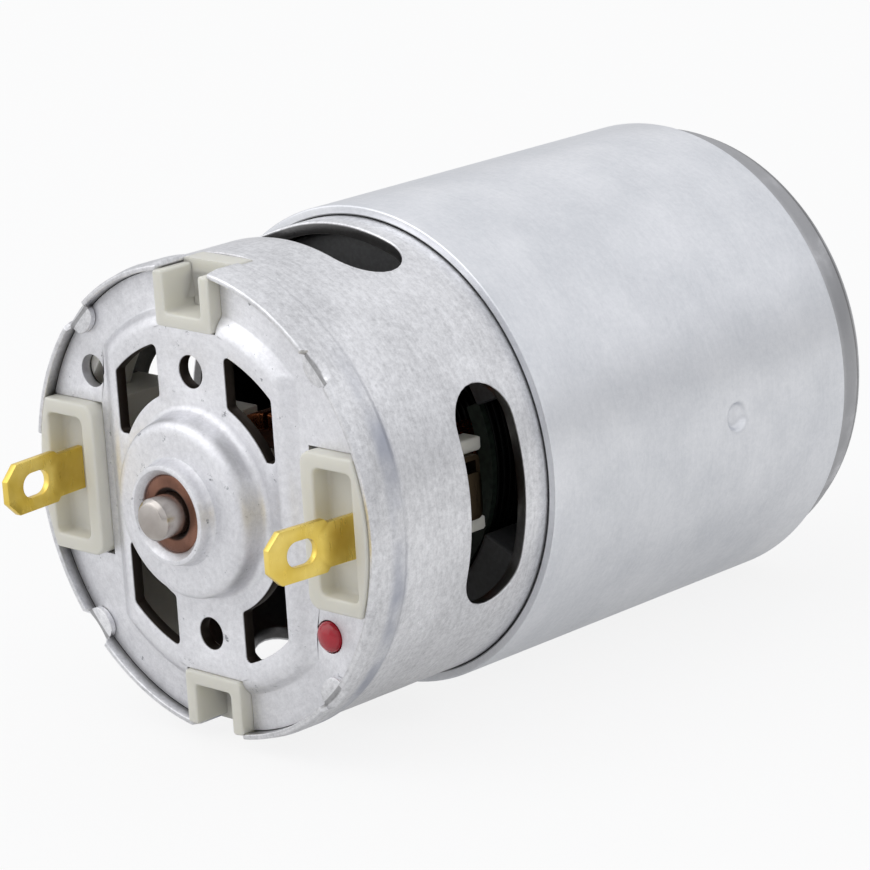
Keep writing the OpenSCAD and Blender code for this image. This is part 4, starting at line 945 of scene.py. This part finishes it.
# Varnish makes the sheets' edges dark grey with a soft shine.
laminations = metal("electrical sheet, varnished", ("#2b2c2c", "#3a3b3b"), (0.35, 0.5), 0.2, 0.4)
neck_turn, hub_turn = turn_at_x(SHOE_IN_R, NECK_HALF_W), turn_at_x(HUB_R, NECK_HALF_W)
tip = 60 - SLOT_HALF_TURN
pole = ([(HUB_R * sin(radians(hub_turn)), -NECK_HALF_W)] + arc(SHOE_IN_R, neck_turn - 90, -tip, 8)
        + arc(STACK_R, -tip, tip, 28) + arc(SHOE_IN_R, tip, 90 - neck_turn, 8)
        + arc(HUB_R, 90 - hub_turn, 30 + hub_turn, 5)[:-1])
sheet = [p for n in range(POLES) for p in swung(pole, 90 + 120 * n)]
levels = [(0.05, STACK_FRONT)]
for k in range(round((STACK_BACK - STACK_FRONT) / SHEET)):
    z = STACK_FRONT + SHEET * k
    levels += [(0, z + 0.06), (0, z + SHEET - 0.06), (0.05, z + SHEET)]
bore = circle_points(0, 0, SHAFT_R + 0.01)
bm = bmesh.new()
sheet_ends = walls(bm, [(inset(sheet, d), z) for d, z in levels])
bore_ends = walls(bm, [(bore, levels[0][1]), (bore, levels[-1][1])])
for outer, inner in zip(sheet_ends, bore_ends):
    filled(bm, outer + inner)
finished(bm, "rotor_sheets", laminations, "silicon_steel", "rotor", "lamination_stack")

# Pressed fibre is dull and dark green. Enamel gives the copper wire a reddish, wet shine.
dress(dull("green insulating fibre", ("#1d2720", "#2c382f"), 0.6, 0.4, 0.3), "end_insulators")
enamel = metal("enamelled copper wire", ("#b0532a", "#de8c5a"), (0.18, 0.3), 0.4, 0.1,
               metallic=0.95, coat=0.6)
stack_mid = (STACK_FRONT + STACK_BACK) / 2
top = FLANGE_FRONT - stack_mid
hook_x, hook_y = HOOK_R * cos(radians(HOOK_TURN)), HOOK_R * sin(radians(HOOK_TURN))
path = [(hook_x, hook_y, top + 0.1), (hook_x, hook_y, top - 0.3),
        (WINDING_IN - 0.45, SIDE_FIRST, END_FIRST + 0.5)]
for layer in range(LAYERS):
    out = WIRE_PITCH * layer
    half_w, half_len = SIDE_FIRST + out, END_FIRST + out
    loop = boxed(-half_w, half_w, -half_len, half_len, WINDING_CORNER + out)
    turns = int((height_at(WINDING_R, half_w) - WINDING_IN) / WIRE_PITCH)
    for k in range(LOOP_POINTS * turns + 1):
        along = k / LOOP_POINTS if layer % 2 == 0 else turns - k / LOOP_POINTS
        path.append((WINDING_IN + WIRE_PITCH * along, *loop[(k + LOOP_START) % LOOP_POINTS]))
path += [(WINDING_IN - 0.3, -half_w, half_len), (hook_x, -hook_y, top - 0.3), (hook_x, -hook_y, top + 0.1)]
for n in range(POLES):
    place = Matrix.Translation((0, 0, stack_mid)) @ Matrix.Rotation(radians(90 + 120 * n), 4, "Z")
    rod_along("winding_%d" % (n + 1), [place @ Vector(p) for p in path], COPPER_R, enamel,
              "enamelled_copper", "rotor", "coil_%d" % (n + 1), sides=1)

# Commutator. Three segments of turned copper on a moulded phenolic hub; each has a hook for the
# ends of two windings.
COMM_R, COMM_T, SEGMENT_ANGLE, HOOK_HALF_W, HOOK_OUT_R, HOOK_T = 5.2, 1.3, 114.5, 1.3, 7.6, 0.5

# Turned copper is reddish brown with fine rings round the shaft.
copper = metal("turned copper", ("#7c4328", "#b06c46"), (0.2, 0.38), 0.15, 0.3, (1, 5, 1))
front, back = span("commutator_segments")
bm = bmesh.new()
for turn in (30, 150, 270):
    swept(bm, boxed(COMM_R - COMM_T, COMM_R, front, back, 0.15), turn, SEGMENT_ANGLE, 24)
    hook = swung(boxed(COMM_R - 0.5, HOOK_OUT_R, -HOOK_HALF_W, HOOK_HALF_W, 0.3), turn)
    stacked(bm, [(inset(hook, 0.08), front), (hook, front + 0.08), (hook, front + HOOK_T - 0.08),
                 (inset(hook, 0.08), front + HOOK_T)])
finished(bm, "commutator_copper", copper, "copper", "rotor", "commutator_segments")

# Moulded phenolic is red-brown and half matt, nylon milky, and vulcanised fibre brown and dry.
dress(dull("brown phenolic moulding", ("#3a2017", "#55301f"), 0.45, 0.5, 0.2), "commutator_hub")
dress(dull("natural nylon spacer", ("#cfcabb", "#dedacc"), 0.5, 0.6, 0.2), "front_spacer", "rear_spacer")
dress(dull("brown fibre washer", ("#6b442b", "#86593a"), 0.6, 0.3, 0.4), "front_washers", "rear_washers")

# Camera and studio. The camera stands where the photograph's stood, fitted to the round edges
# of the motor; a pale floor, a sky that is brighter above, and two large soft lamps.
FOCAL_PX, FRAME_PX, SENSOR = 4083.5, 870, 36.0
EYE, EYE_SPIN = Vector((0.21485, -0.24788, 0.08351)), Vector((1.762, 0.662, -0.589))
FLOOR_Z, FLOOR_HALF, FLOOR_SEEN, FLOOR_MIRRORED = -0.01872, 3, 0.85, 0.32
LAMP_SIZE, MOTOR_MIDDLE = 1.0, Vector((0, -0.03, 0))
scene = bpy.context.scene
camera_data = bpy.data.cameras.new("camera")
camera_data.sensor_width = SENSOR
camera_data.lens = FOCAL_PX / FRAME_PX * SENSOR
camera_data.clip_start, camera_data.clip_end = 0.01, 20
camera = bpy.data.objects.new("camera", camera_data)
right, down, ahead = Matrix.Rotation(EYE_SPIN.length, 3, EYE_SPIN)
camera.matrix_world = Matrix.Translation(EYE) @ Matrix((right, -down, -ahead)).transposed().to_4x4()
scene.collection.objects.link(camera)
scene.camera = camera
scene.view_settings.view_transform = "Standard"

# The camera sees nearly white paper that keeps the motor's shadow; metal mirrors it greyer.
paper, tree, surface = new_material("pale studio paper")
wire(surface, {"Base Color": linear("#dcdcdc"), "Roughness": 0.9})
light = add(tree, "LightPath").outputs
either = add(tree, "Math", {0: light["Is Glossy Ray"], 1: light["Is Transmission Ray"]},
             operation="MAXIMUM")
mirrored = add(tree, "Math", {0: either, 1: FLOOR_MIRRORED}, operation="MULTIPLY")
share = add(tree, "Math", {0: light["Is Camera Ray"], 1: FLOOR_SEEN, 2: mirrored},
            operation="MULTIPLY_ADD")
white = add(tree, "Emission", {"Color": (1, 1, 1, 1), "Strength": 1.0})
shown = add(tree, "MixShader", {0: share, 1: surface, 2: white})
wire(tree.nodes["Material Output"], {"Surface": shown})
bm = bmesh.new()
bmesh.ops.create_grid(bm, x_segments=1, y_segments=1, size=FLOOR_HALF)
bmesh.ops.translate(bm, verts=bm.verts, vec=(0, 0, FLOOR_Z))
floor_mesh = bpy.data.meshes.new("floor")
bm.to_mesh(floor_mesh)
bm.free()
floor_mesh.materials.append(paper)
floor = bpy.data.objects.new("floor", floor_mesh)
scene.collection.objects.link(floor)

world = bpy.data.worlds.new("studio")
scene.world = world
world.use_nodes = True
tree = world.node_tree
aim = add(tree, "SeparateXYZ", {0: add(tree, "TexCoord").outputs["Generated"]})
sky = add(tree, "MapRange", {"Value": aim.outputs["Z"], "From Min": 0.0, "From Max": 0.35,
          "To Min": 0.5, "To Max": 0.95})
wire(tree.nodes["Background"], {"Color": linear("#fbfcff"), "Strength": sky})

for name, at, power in (("key", (-0.2, -0.5, 0.9), 2.5), ("fill", (-0.7, -0.8, 0.25), 2.2)):
    soft_box = bpy.data.lights.new(name, "AREA")
    soft_box.size, soft_box.energy = LAMP_SIZE, power
    lamp = bpy.data.objects.new(name, soft_box)
    lamp.location = at
    lamp.rotation_euler = (MOTOR_MIDDLE - lamp.location).to_track_quat("-Z", "Y").to_euler()
    scene.collection.objects.link(lamp)
